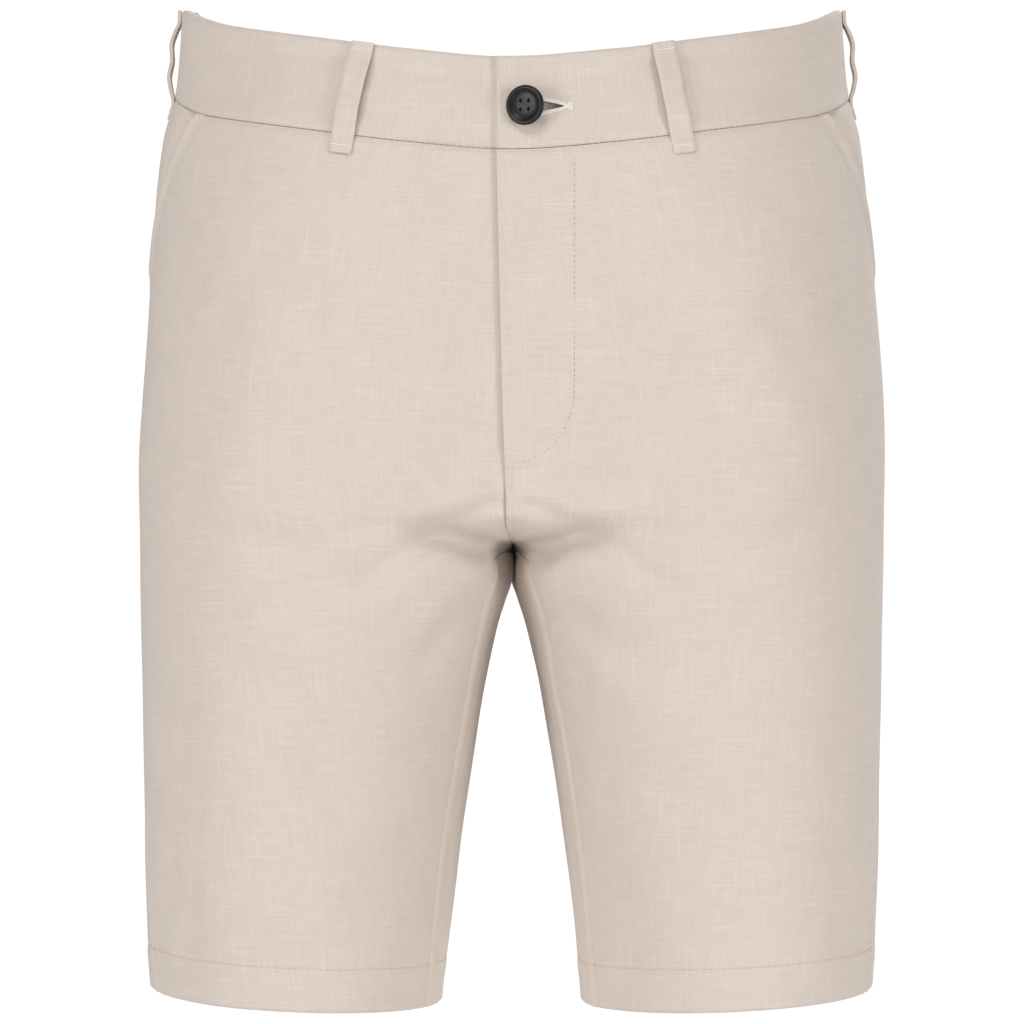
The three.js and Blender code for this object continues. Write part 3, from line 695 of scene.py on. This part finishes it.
def linen(name, tint):
    """Matt plain-weave linen: uneven warp and weft threads with thick slubs, a slight nap."""
    paint = bpy.data.materials.new(name)
    paint.use_nodes = True
    tree = paint.node_tree
    cloth = tree.nodes["Principled BSDF"]
    start = Shade(tree, None)
    uv = start.node("ShaderNodeUVMap", settings=dict(uv_map="weave"))
    split = start.node("ShaderNodeSeparateXYZ", Vector=uv)
    across, along = split, Shade(tree, split.socket.node.outputs[1])

    def threads(stretch_u, stretch_v, detail, rough):
        place = start.node("ShaderNodeCombineXYZ", X=across * stretch_u, Y=along * stretch_v)
        return start.node("ShaderNodeTexNoise", settings=dict(noise_dimensions="2D"), Vector=place,
                          Scale=1.0, Detail=detail, Roughness=rough)

    warp = threads(1 / 0.00085, 1 / 0.019, 2.0, 0.6)
    weft = threads(1 / 0.017, 1 / 0.00080, 2.0, 0.6)
    warp_slub = threads(1 / 0.0016, 1 / 0.034, 1.0, 0.5)
    weft_slub = threads(1 / 0.030, 1 / 0.0015, 1.0, 0.5)
    blotch = threads(1 / 0.035, 1 / 0.045, 3.0, 0.55)
    over = start.math("SINE", across * (2 * math.pi / WARP_PITCH) + warp * 5.0)
    under = start.math("SINE", along * (2 * math.pi / WEFT_PITCH) + weft * 5.0)
    weave = over * under * 0.5 + 0.5

    thick = (warp_slub - 0.60).limited() * 5.0 + (weft_slub - 0.60).limited() * 5.0
    tone = (warp - 0.5) * 0.36 + (weft - 0.5) * 0.50 + (blotch - 0.5) * 0.22 + thick * 0.17
    tone = tone + (weave - 0.5) * 0.10
    light = (tone + 0.5).limited().between([0.86 * v for v in tint],
                                           [min(1.135 * v, 1.0) for v in tint])
    start.feed(cloth.inputs["Base Color"], light)
    height = weave * 0.45 + warp * 0.35 + weft * 0.4 + thick * 0.35
    bump = start.node("ShaderNodeBump", Strength=0.55, Distance=0.00022, Height=height)
    start.feed(cloth.inputs["Normal"], bump)
    start.feed(cloth.inputs["Roughness"], (blotch - 0.5) * 0.1 + 0.88)
    cloth.inputs["Specular IOR Level"].default_value = 0.22
    cloth.inputs["Sheen Weight"].default_value = 0.16
    cloth.inputs["Sheen Roughness"].default_value = 0.55
    cloth.inputs["Sheen Tint"].default_value = (1.0, 0.96, 0.92, 1.0)
    return paint


LINEN_TINT = (0.655, 0.574, 0.512)
linen_body = linen("linen_body", LINEN_TINT)
for name, piece in front_pieces.items():
    piece.data.materials.append(linen_body)
    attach(piece, "root")
    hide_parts(f"front_{name}")

# ---- Backs -----------------------------------------------------------------
# The two plain back panels, joined down the centre back. They run forward under the crotch
# and round the inside of each leg to the inseam, and their hems are turned up inside.
BACK_COLUMNS, BACK_WIDTH = 92, 235.0


def back_depth(z, arc, top, hem):
    """Depth of a back's face: rolled seams and the stitched hem."""
    to_side = back_side_edge(z) - arc
    to_inner = arc - back_inner_edge(z)
    return rolled(to_side, 0.6) + rolled(to_inner, 0.7) + hem_depth(z, hem) + rolled(top - z, 0.7)


for name, side in HALVES:
    z, arc = panel_grid(back_side_edge, back_inner_edge, -length_at("back", CROTCH_Z),
                        BACK_COLUMNS, BACK_WIDTH)
    depth = back_depth(z, arc, z[0], z[-1])
    back = cloth_piece(f"{name}_back_cloth", side, z, arc, depth, hem_thickness(z, z[-1]))
    back.data.materials.append(linen_body)
    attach(back, "root")
    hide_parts(f"back_{name}")

# ---- Hip patches -----------------------------------------------------------
# The cloth that shows behind each slant pocket mouth: flush with the back panel at the side
# seam, one layer lower where it runs under the front.
POCKET_UNDER = 12.0
POCKET_BELOW = 9.0
HIP_ROWS, HIP_COLUMNS = 60, 40
for name, side in HALVES:
    down = np.linspace(0, 1, HIP_ROWS)[:, None]
    share = np.linspace(0, 1, HIP_COLUMNS)
    top_arc = (POCKET_TOP_ARC + POCKET_UNDER) * share
    top = band_seam(top_arc / length_at("front", BAND_LOW_Z)) - SEAM_GAP / 2
    z = top + (POCKET_FOOT_Z - POCKET_BELOW - top) * down
    start = seam_outer(z) + SEAM_GAP / 2
    arc = start + (np.maximum(pocket_arc(z), 0) + POCKET_UNDER - start) * share
    mouth = pocket_arc(z)
    depth = (CLOTH + SEAM_GAP + 2.0) * ease(mouth - 20, mouth - 2, arc)
    depth = depth + rolled(arc - start, 0.6) * ease(3, 10, mouth) + rolled(z[0] - z, 0.7)
    hip = cloth_piece(f"{name}_hip_cloth", side, z, arc, depth, CLOTH)
    hip.data.materials.append(linen_body)
    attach(hip, "root")
    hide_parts(f"pocket_side_{name}")

# ---- Fly shield ------------------------------------------------------------
# The strip behind the fly opening, sewn to the right front and reaching past the lap.
SHIELD_DEPTH = FRONT_STEP + CLOTH + SEAM_GAP + 0.5
SHIELD_ROWS, SHIELD_COLUMNS = 60, 24
SHIELD_TOP_Z, SHIELD_FOOT_Z = -44.6, -186.0
SHIELD_PAST, SHIELD_REACH = 14.0, 36.0
down = np.linspace(0, 1, SHIELD_ROWS)[:, None]
share = np.linspace(0, 1, SHIELD_COLUMNS)
z = np.broadcast_to(SHIELD_TOP_Z + (SHIELD_FOOT_Z - SHIELD_TOP_Z) * down,
                    (SHIELD_ROWS, SHIELD_COLUMNS))
reach = SHIELD_REACH * (1 - 0.35 * ease(0.6, 1.0, down))
arc = length_at("front", z) - (-SHIELD_PAST + (reach + SHIELD_PAST) * share)
shield = cloth_piece("fly_shield_cloth", 1, z, arc, SHIELD_DEPTH, CLOTH)
shield.data.materials.append(linen_body)
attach(shield, "root")
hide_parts("fly_shield")

# ---- Waistband -------------------------------------------------------------
# A straight doubled band in two halves joined at the centre back. Its left end laps over at
# the front and carries the buttonhole; the right end runs under it and carries the button.
BAND_HEIGHT = 44.0
BAND_CLOTH = 2.8
BAND_STEP = BAND_CLOTH + SEAM_GAP
BAND_OVERLAP = 7.0
BAND_UNDERLAP = 36.0
BUTTON_Z = -24.0
SLIT_FROM, SLIT_TO, SLIT_HALF = 4.0, 24.5, 2.3
SLIT_WEDGE = 0.62
# Short creases across the band: where they lie round the half and above its lower edge, how
# far they reach each way, and how deep.
BAND_CREASE_COLUMNS = ("along", "low", "wide", "high", "deep")
BAND_CREASES = (
    (36, 33, 16, 3.2, 0.55),
    (84, 35, 20, 2.8, 0.5),
    (122, 31, 15, 3.0, 0.45),
    (160, 30, 18, 3.4, 0.5),
    (58, 12, 14, 3.5, 0.35),
    (138, 10, 16, 3.2, 0.35),
    (-40, 30, 22, 3.6, 0.5),
    (-110, 33, 26, 3.4, 0.5),
    (-170, 28, 20, 3.4, 0.45),
)


def band_relief(side, arc_from_centre, up):
    """Depth of the band's surface: soft cross creases, and its rolled top and bottom edges."""
    total = rolled(up, 0.7) * 0.8 + 0.85 * ease(2.2, 0.0, BAND_HEIGHT - up) ** 2
    for row in BAND_CREASES:
        c = dict(zip(BAND_CREASE_COLUMNS, row))
        at = c["along"] + (4.0 if side < 0 else -3.0)
        near = bell(arc_from_centre - at, c["wide"]) * bell(up - c["low"], c["high"])
        total = total + 1.8 * c["deep"] * near
    return total


def band_grid(side):
    back_full, front_full = length_at("back", 0.0), length_at("front", 0.0)
    past = BAND_OVERLAP if side > 0 else BAND_UNDERLAP
    run = np.concatenate([-back_full + SEAM_GAP / 2 + np.array([0, 0.6, 1.4, 2.6]),
                          np.linspace(-back_full + 5, -2, 90), np.linspace(0, front_full - 45, 60),
                          np.linspace(front_full - 44, front_full + past - 3, 90),
                          front_full + past - np.array([2.2, 1.4, 0.7, 0.25, 0.0])])
    around = np.where(run < 0, run / back_full, np.minimum(run / front_full, 1))
    extra = np.maximum(run - front_full, 0)
    up = np.concatenate([[0.15, 0.6, 1.3, 2.2, 3.2], np.linspace(4.5, 40, 34),
                         [41.2, 42.2, 42.9, 43.4, 43.75, 43.95, 44.0]])[:, None]
    z = band_seam(around) + up
    arc = np.where(run < 0, around * length_at("back", z), around * length_at("front", z) + extra)
    return z, arc, up, run


def band_depth(side, z, arc, up, run):
    front_full = length_at("front", 0.0)
    from_centre = np.where(run >= 0, front_full - run, -(run + length_at("back", 0.0)))
    depth = band_relief(side, from_centre, up) + 0.0 * z
    if side < 0:
        return depth + BAND_STEP * (1 - ease(9, 60, from_centre))
    end = run[-1] - run
    return depth + 0.7 * ease(1.8, 0.0, end) ** 2


def slit_pull(x, z):
    """The cloth beside the buttonhole is pushed apart by the shank and lifts a little."""
    middle, half = (SLIT_FROM + SLIT_TO) / 2, (SLIT_TO - SLIT_FROM) / 2
    near = bell(x - middle, half * 0.95)
    return -0.5 * near * bell(z - BUTTON_Z, 4.5)


def apply_modifiers(piece):
    """Make what a piece's modifiers give its own mesh."""
    depsgraph = bpy.context.evaluated_depsgraph_get()
    given = bpy.data.meshes.new_from_object(piece.evaluated_get(depsgraph))
    piece.modifiers.clear()
    piece.data = given


def cut_away(piece, points, faces):
    """Cut a closed form, its points in metres, out of a piece."""
    tool = mesh_piece("cutter", points, [], faces)
    cut = piece.modifiers.new("cut", "BOOLEAN")
    cut.object = tool
    cut.operation = "DIFFERENCE"
    cut.solver = "EXACT"
    apply_modifiers(piece)
    bpy.data.objects.remove(tool)


band_pieces = {}
for name, side in HALVES:
    z, arc, up, run = band_grid(side)
    depth = band_depth(side, z, arc, up, run)
    if side > 0:
        depth = depth + slit_pull(length_at("front", z) - arc, z)
    uv = np.stack([z, side * (run + 0 * z)], -1)
    band = cloth_piece(f"{name}_waistband_cloth", side, z, arc, depth, BAND_CLOTH, uv)
    band.data.materials.append(linen_body)
    band_pieces[name] = band

# The slit of the buttonhole is cut through the left end.
slit_points = []
SLIT_STEPS = 32
SLIT_REACH_Y = (-0.135, -0.095)
for depth_y in SLIT_REACH_Y:
    for i in range(SLIT_STEPS):
        turn = 2 * math.pi * i / SLIT_STEPS
        x = (SLIT_FROM + SLIT_TO) / 2 + (SLIT_TO - SLIT_FROM) / 2 * math.cos(turn)
        z = BUTTON_Z + SLIT_HALF * math.sin(turn) * (1 - SLIT_WEDGE * math.cos(turn))
        slit_points.append((x * MM, depth_y, z * MM))
slit_faces = [tuple(range(SLIT_STEPS)), tuple(range(2 * SLIT_STEPS - 1, SLIT_STEPS - 1, -1))]
for i in range(SLIT_STEPS):
    j = (i + 1) % SLIT_STEPS
    slit_faces.append((i, i + SLIT_STEPS, j + SLIT_STEPS, j))
cut_away(band_pieces["left"], slit_points, slit_faces)

for name, band in band_pieces.items():
    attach(band, "root")
    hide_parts(f"waistband_{name}")

# ---- Belt loops ------------------------------------------------------------
# Five straps of the same linen, folded to three layers, bar-tacked at the top edge of the band
# and just below its seam, standing off it enough for a belt.
LOOP_WIDTH = 10.5
LOOP_CLOTH = 1.6
LOOP_ABOVE = 0.4
LOOP_BELOW = 9.0
# The strap from its top end to its bottom end: rise is its share of the full stand-off.
LOOP_ARCH = dict(along=(0, 0.10, 0.20, 0.32, 0.46, 0.60, 0.72, 0.84, 1),
                 rise=(0, 0.0, 0.55, 1, 0.78, 1, 0.6, 0.0, 0))
loop_rise = curve(LOOP_ARCH, "along", "rise")
loops = (
    dict(name="front_left", side=1, top=71.0, bottom=81.0, lift=2.3, sway=0.5),
    dict(name="front_right", side=-1, top=69.8, bottom=80.4, lift=2.2, sway=-0.4),
    dict(name="side_left", side=1, top=None, bottom=None, lift=4.0, sway=0.6),
    dict(name="side_right", side=-1, top=None, bottom=None, lift=3.8, sway=-0.7),
    dict(name="back", side=1, top=0.0, bottom=0.0, lift=3.8, sway=0.3),
)
LOOP_ROWS = 72
TACK_ROWS = (5, 66)
tack_lines = []
for loop in loops:
    along = np.linspace(0, 1, LOOP_ROWS)[:, None]
    share = np.concatenate([[0, 0.04, 0.1], np.linspace(0.18, 0.82, 9), [0.9, 0.96, 1]])
    offset = LOOP_WIDTH * (share - 0.5) * (1 + 0.03 * np.sin(9 * along))
    offset = offset + loop["sway"] * np.sin(math.pi * along)
    z = np.zeros((LOOP_ROWS, len(share)))
    for _ in range(3):
        if loop["name"] == "back":
            arc = -length_at("back", z) + offset
        elif loop["top"] is None:
            arc = offset + 0 * z
        else:
            lean = (loop["bottom"] - loop["top"]) * along
            arc = length_at("front", z) - loop["top"] - lean + offset
        whole = np.where(arc < 0, length_at("back", z), length_at("front", z))
        around = np.clip(arc / whole, -1, 1)
        top = band_seam(around) + BAND_HEIGHT + LOOP_ABOVE
        z = top - along * (BAND_HEIGHT + LOOP_ABOVE + LOOP_BELOW)
    lift = SEAM_GAP + 0.25 + (loop["lift"] - SEAM_GAP) * loop_rise(along)
    edge = np.minimum(share, 1 - share) * LOOP_WIDTH
    wall = LOOP_CLOTH - 0.55 * ease(0.80, 0.88, along)
    depth = -lift - wall + 0.45 * bell(edge, 0.5)
    depth = depth - 0.2 * bell(edge - 1.8, 0.9)
    x, y, nx, ny = skin(z, arc)[:4]
    side = loop["side"]
    outer = np.stack([side * (x - nx * depth), y - ny * depth, z], -1)
    for row in TACK_ROWS:
        tack_lines.append([tuple(p) for p in outer[row, 2:-2]])
    flat_back = 0 * depth - lift
    inner = np.stack([side * (x - nx * flat_back), y - ny * flat_back, z], -1)
    uv = np.stack([offset + 0 * z + 40 * len(loop["name"]), z], -1)
    strap = shell(f"belt_loop_{loop['name']}_cloth", outer, inner, uv)
    strap.data.materials.append(linen_body)
    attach(strap, "root")
    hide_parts(f"belt_loop_{loop['name']}")

# ---- Button ----------------------------------------------------------------
# A charcoal resin button, turned with a raised rim and a dished face with four holes, sewn to
# the right end of the band on a short thread shank that passes through the buttonhole.
BUTTON_TURN = math.radians(-22.0)
BUTTON_OUT = 2.2
BUTTON_HOLE = 1.0
HOLE_SPREAD = 2.0
# Profile of the button from the middle of its face to the middle of its back.
BUTTON_PROFILE = dict(
    radius=(0.0, 3.4, 5.6, 6.6, 7.3, 7.9, 8.7, 9.2, 9.35, 9.3, 8.8, 7.6, 5.0, 0.0),
    height=(1.75, 1.75, 1.85, 2.15, 2.75, 3.05, 3.0, 2.6, 2.0, 1.3, 0.7, 0.2, 0.0, 0.0),
)
BUTTON_TURNS = 72
button_box = [np.array(v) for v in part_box("button")]
button_middle = (button_box[0] + button_box[1]) / 2
rings = list(zip(BUTTON_PROFILE["radius"], BUTTON_PROFILE["height"]))
points = [(0.0, 0.0, rings[0][1])]
for radius, height in rings[1:-1]:
    for i in range(BUTTON_TURNS):
        turn = 2 * math.pi * i / BUTTON_TURNS
        points.append((radius * math.cos(turn), radius * math.sin(turn), height))
points.append((0.0, 0.0, rings[-1][1]))
faces = []
last = len(points) - 1
for i in range(BUTTON_TURNS):
    j = (i + 1) % BUTTON_TURNS
    faces.append((0, 1 + i, 1 + j))
    for ring in range(len(rings) - 3):
        low, high = 1 + ring * BUTTON_TURNS, 1 + (ring + 1) * BUTTON_TURNS
        faces.append((low + i, high + i, high + j, low + j))
    low = 1 + (len(rings) - 3) * BUTTON_TURNS
    faces.append((low + i, last, low + j))
button = mesh_piece("resin_button", [tuple(v * MM for v in p) for p in points], [], faces)
HOLE_STEPS = 20
# The holes stop 0.5 mm short of the back, so the dark resin at their floor stands for the dark
# thread in them and, as painted shade, for the shade inside them.
HOLE_REACH = (0.5, 4.0)
hole_points, hole_faces = [], []
for across in (-1, 1):
    for up in (-1, 1):
        start = len(hole_points)
        for height in HOLE_REACH:
            for i in range(HOLE_STEPS):
                turn = 2 * math.pi * i / HOLE_STEPS
                hole_points.append(((across * HOLE_SPREAD + BUTTON_HOLE * math.cos(turn)) * MM,
                                    (up * HOLE_SPREAD + BUTTON_HOLE * math.sin(turn)) * MM,
                                    height * MM))
        low = tuple(range(start, start + HOLE_STEPS))
        high = tuple(range(start + HOLE_STEPS, start + 2 * HOLE_STEPS))
        hole_faces += [low[::-1], high]
        for i in range(HOLE_STEPS):
            j = (i + 1) % HOLE_STEPS
            hole_faces.append((low[i], low[j], high[j], high[i]))
cut_away(button, hole_points, hole_faces)
drilled = button.data
drilled.polygons.foreach_set("use_smooth", np.ones(len(drilled.polygons), bool))
drilled.set_sharp_from_angle(angle=math.radians(40))
facing = Matrix.Rotation(BUTTON_TURN, 4, "Z") @ Matrix.Rotation(math.radians(90), 4, "X")
seat = Matrix.Translation((button_middle[0], button_box[1][1] - BUTTON_OUT * MM, button_middle[2]))
drilled.transform(seat @ facing)
drilled.update()

resin = bpy.data.materials.new("button_resin")
resin.use_nodes = True
resin_start = Shade(resin.node_tree, None)
resin_bsdf = resin.node_tree.nodes["Principled BSDF"]
place = resin_start.node("ShaderNodeTexCoord", out=3)
swirl = resin_start.node("ShaderNodeTexNoise", Vector=place, Scale=260.0, Detail=3.0, Roughness=0.6)
colour = swirl.between((0.004, 0.0035, 0.0035), (0.016, 0.014, 0.013))
resin_start.feed(resin_bsdf.inputs["Base Color"], colour)
resin_start.feed(resin_bsdf.inputs["Roughness"], swirl * 0.16 + 0.26)
resin_bsdf.inputs["Specular IOR Level"].default_value = 0.3
resin_bump = resin_start.node("ShaderNodeBump", Strength=0.12, Distance=0.0001, Height=swirl)
resin_start.feed(resin_bsdf.inputs["Normal"], resin_bump)
drilled.materials.clear()
drilled.materials.append(resin)
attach(button, "root")
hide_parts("button")

# ---- Buttonhole ------------------------------------------------------------
# A keyhole buttonhole worked over its cut edge in pale thread and pulled open by the shank,
# closed with a short bar of the same thread at its outer end.
def thread(name, colour, sheen):
    """Spun sewing thread with a soft twist along it."""
    paint = bpy.data.materials.new(name)
    paint.use_nodes = True
    start = Shade(paint.node_tree, None)
    spun = paint.node_tree.nodes["Principled BSDF"]
    place = start.node("ShaderNodeTexCoord", out=3)
    fibres = start.node("ShaderNodeTexNoise", Vector=place, Scale=2600.0, Detail=2.0, Roughness=0.5)
    tone = fibres.between([0.82 * v for v in colour], [1.12 * v for v in colour])
    start.feed(spun.inputs["Base Color"], tone)
    bump = start.node("ShaderNodeBump", Strength=0.4, Distance=0.00012, Height=fibres)
    start.feed(spun.inputs["Normal"], bump)
    spun.inputs["Roughness"].default_value = 0.8
    spun.inputs["Sheen Weight"].default_value = sheen
    return paint


def stitch_tree(name, paint, spacing, length, radius):
    """Geometry nodes that lay one bead of thread at every step along the edges of a mesh."""
    tree = bpy.data.node_groups.new(name, "GeometryNodeTree")
    tree.interface.new_socket("Geometry", in_out="INPUT", socket_type="NodeSocketGeometry")
    tree.interface.new_socket("Geometry", in_out="OUTPUT", socket_type="NodeSocketGeometry")
    wanted = (("Spacing", spacing), ("Length", length), ("Radius", radius))
    for label, value in wanted:
        socket = tree.interface.new_socket(label, in_out="INPUT", socket_type="NodeSocketFloat")
        socket.default_value = value
    add = tree.nodes.new

    def join(source, output, target, entry):
        tree.links.new(source.outputs[output], target.inputs[entry])

    given, out = add("NodeGroupInput"), add("NodeGroupOutput")
    line = add("GeometryNodeMeshToCurve")
    join(given, "Geometry", line, "Mesh")
    steps = add("GeometryNodeResampleCurve")
    steps.mode = "LENGTH"
    join(line, "Curve", steps, "Curve")
    join(given, "Spacing", steps, "Length")
    bead = add("GeometryNodeMeshUVSphere")
    bead.inputs["Segments"].default_value = 6
    bead.inputs["Rings"].default_value = 4
    bead.inputs["Radius"].default_value = 1.0
    tangent = add("GeometryNodeInputTangent")
    turn = add("FunctionNodeAlignRotationToVector")
    turn.axis = "Z"
    join(tangent, 0, turn, "Vector")
    size = add("ShaderNodeCombineXYZ")
    join(given, "Radius", size, "X")
    join(given, "Radius", size, "Y")
    join(given, "Length", size, "Z")
    beads = add("GeometryNodeInstanceOnPoints")
    join(steps, "Curve", beads, "Points")
    join(bead, "Mesh", beads, "Instance")
    join(turn, "Rotation", beads, "Rotation")
    join(size, "Vector", beads, "Scale")
    real = add("GeometryNodeRealizeInstances")
    join(beads, "Instances", real, "Geometry")
    smooth = add("GeometryNodeSetShadeSmooth")
    join(real, "Geometry", smooth, "Geometry")
    colour = add("GeometryNodeSetMaterial")
    colour.inputs["Material"].default_value = paint
    join(smooth, 0, colour, "Geometry")
    join(colour, "Geometry", out, "Geometry")
    return tree


def sew(name, lines, paint, spacing, length, radius):
    """One joined mesh of stitches along a list of lines of points, in millimetres."""
    points, edges = [], []
    for line in lines:
        start = len(points)
        points += [tuple(p) for p in (np.array(line) * MM)]
        edges += [(start + i, start + i + 1) for i in range(len(line) - 1)]
    piece = mesh_piece(name, points, edges, [])
    nodes = piece.modifiers.new("stitches", "NODES")
    nodes.node_group = stitch_tree(name, paint, spacing * MM, length * MM / 2, radius * MM)
    apply_modifiers(piece)
    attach(piece, "root")
    return piece


# Inseam thread paler than the cloth: real stitching, and partly painted highlight of the pressed
# seam ridge catching light.
pale_thread = thread("pale_thread", (0.76, 0.69, 0.61), 0.3)
hole_thread = thread("hole_thread", (0.86, 0.81, 0.75), 0.3)
hole_lines = []
for ring in range(3):
    loop_line = []
    for i in range(SLIT_STEPS * 2 + 1):
        turn = 2 * math.pi * i / (SLIT_STEPS * 2)
        wide = 0.35 + 0.55 * ring
        x = (SLIT_FROM + SLIT_TO) / 2 + ((SLIT_TO - SLIT_FROM) / 2 + wide) * math.cos(turn)
        z = BUTTON_Z + (SLIT_HALF * (1 - SLIT_WEDGE * math.cos(turn)) + wide) * math.sin(turn)
        arc = length_at("front", z) - x
        depth = slit_pull(np.array(x), np.array(z)) - 0.45 + 0.12 * ring
        loop_line.append(on_skin(1, np.array(z), np.array(arc), depth))
    hole_lines.append(loop_line)
for bar in range(4):
    z = BUTTON_Z + np.linspace(-1.7, 1.7, 8)
    arc = length_at("front", z) - SLIT_TO - 1.6 - 0.7 * bar
    hole_lines.append(list(on_skin(1, z, arc, -0.4 * np.ones_like(z))))
hole = sew("buttonhole_stitches", hole_lines, hole_thread, 0.62, 1.0, 0.46)
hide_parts("buttonhole_edge")

# ---- Stitching -------------------------------------------------------------
# Machine stitching, its beads sunk in their needle marks: below the waistband, round the fly, along
# both hems, at the loops and the inseams. The thread is a shade darker than the cloth, but pale at
# the loops, and pale at the inseams partly as painted highlight of the seam ridge.
seam_thread = thread("seam_thread", (0.44, 0.37, 0.30), 0.1)
cloth_thread = thread("cloth_thread", (0.60, 0.52, 0.45), 0.2)


def skin_line(side, z, arc, depth):
    return list(on_skin(side, np.asarray(z, float), np.asarray(arc, float), depth))


band_lines, hem_lines = [], []
for side in (-1, 1):
    for face, sign in (("front", 1), ("back", -1)):
        around = np.linspace(0.0, 1.0 if face == "back" else 0.985, 160) * sign
        z = band_seam(around) + 0.15
        band_lines.append(skin_line(side, z, around * length_at(face, z), 0.25))
    for low, high in ((0.0, 1.0), (-1.0, 0.0)):
        face = "front" if high > 0 else "back"
        around = np.linspace(low, high, 160)
        z = hem_height(around) + HEM_HEIGHT
        hem_lines.append(skin_line(side, z, around * length_at(face, z), 0.28))
sew("band_stitches", band_lines, seam_thread, 2.9, 2.0, 0.18)
sew("hem_stitches", hem_lines, cloth_thread, 3.1, 2.2, 0.3)
down = np.linspace(-46.0, J_BOTTOM_Z + 0.05, 200)
down = np.concatenate([down[:-1], J_BOTTOM_Z + np.linspace(0.7, 0.01, 14)])
down = np.sort(down)[::-1]
j_lines = [skin_line(1, down, length_at("front", down) - j_line_x(down), 0.0 * down)]
sew("fly_stitches", j_lines, seam_thread, 2.5, 1.5, 0.18)
sew("loop_tacks", tack_lines, hole_thread, 0.75, 1.2, 0.28)

# Pale stitching stands along the pressed ridge of each inseam, from the crotch to the hem; its
# thread is paler than the cloth partly as painted highlight, the light the ridge catches.
inseams = []
for side in (-1, 1):
    z = np.linspace(CROTCH_Z - 8.0, HEM_OUTER_Z - 4.0, 220)
    arc = length_at("front", z) - seam_inner(z) - SEAM_GAP / 2 - 0.9
    inseams.append(skin_line(side, z, arc, -0.62 * np.ones_like(z)))
sew("inseam_stitches", inseams, pale_thread, 2.3, 2.1, 0.24)
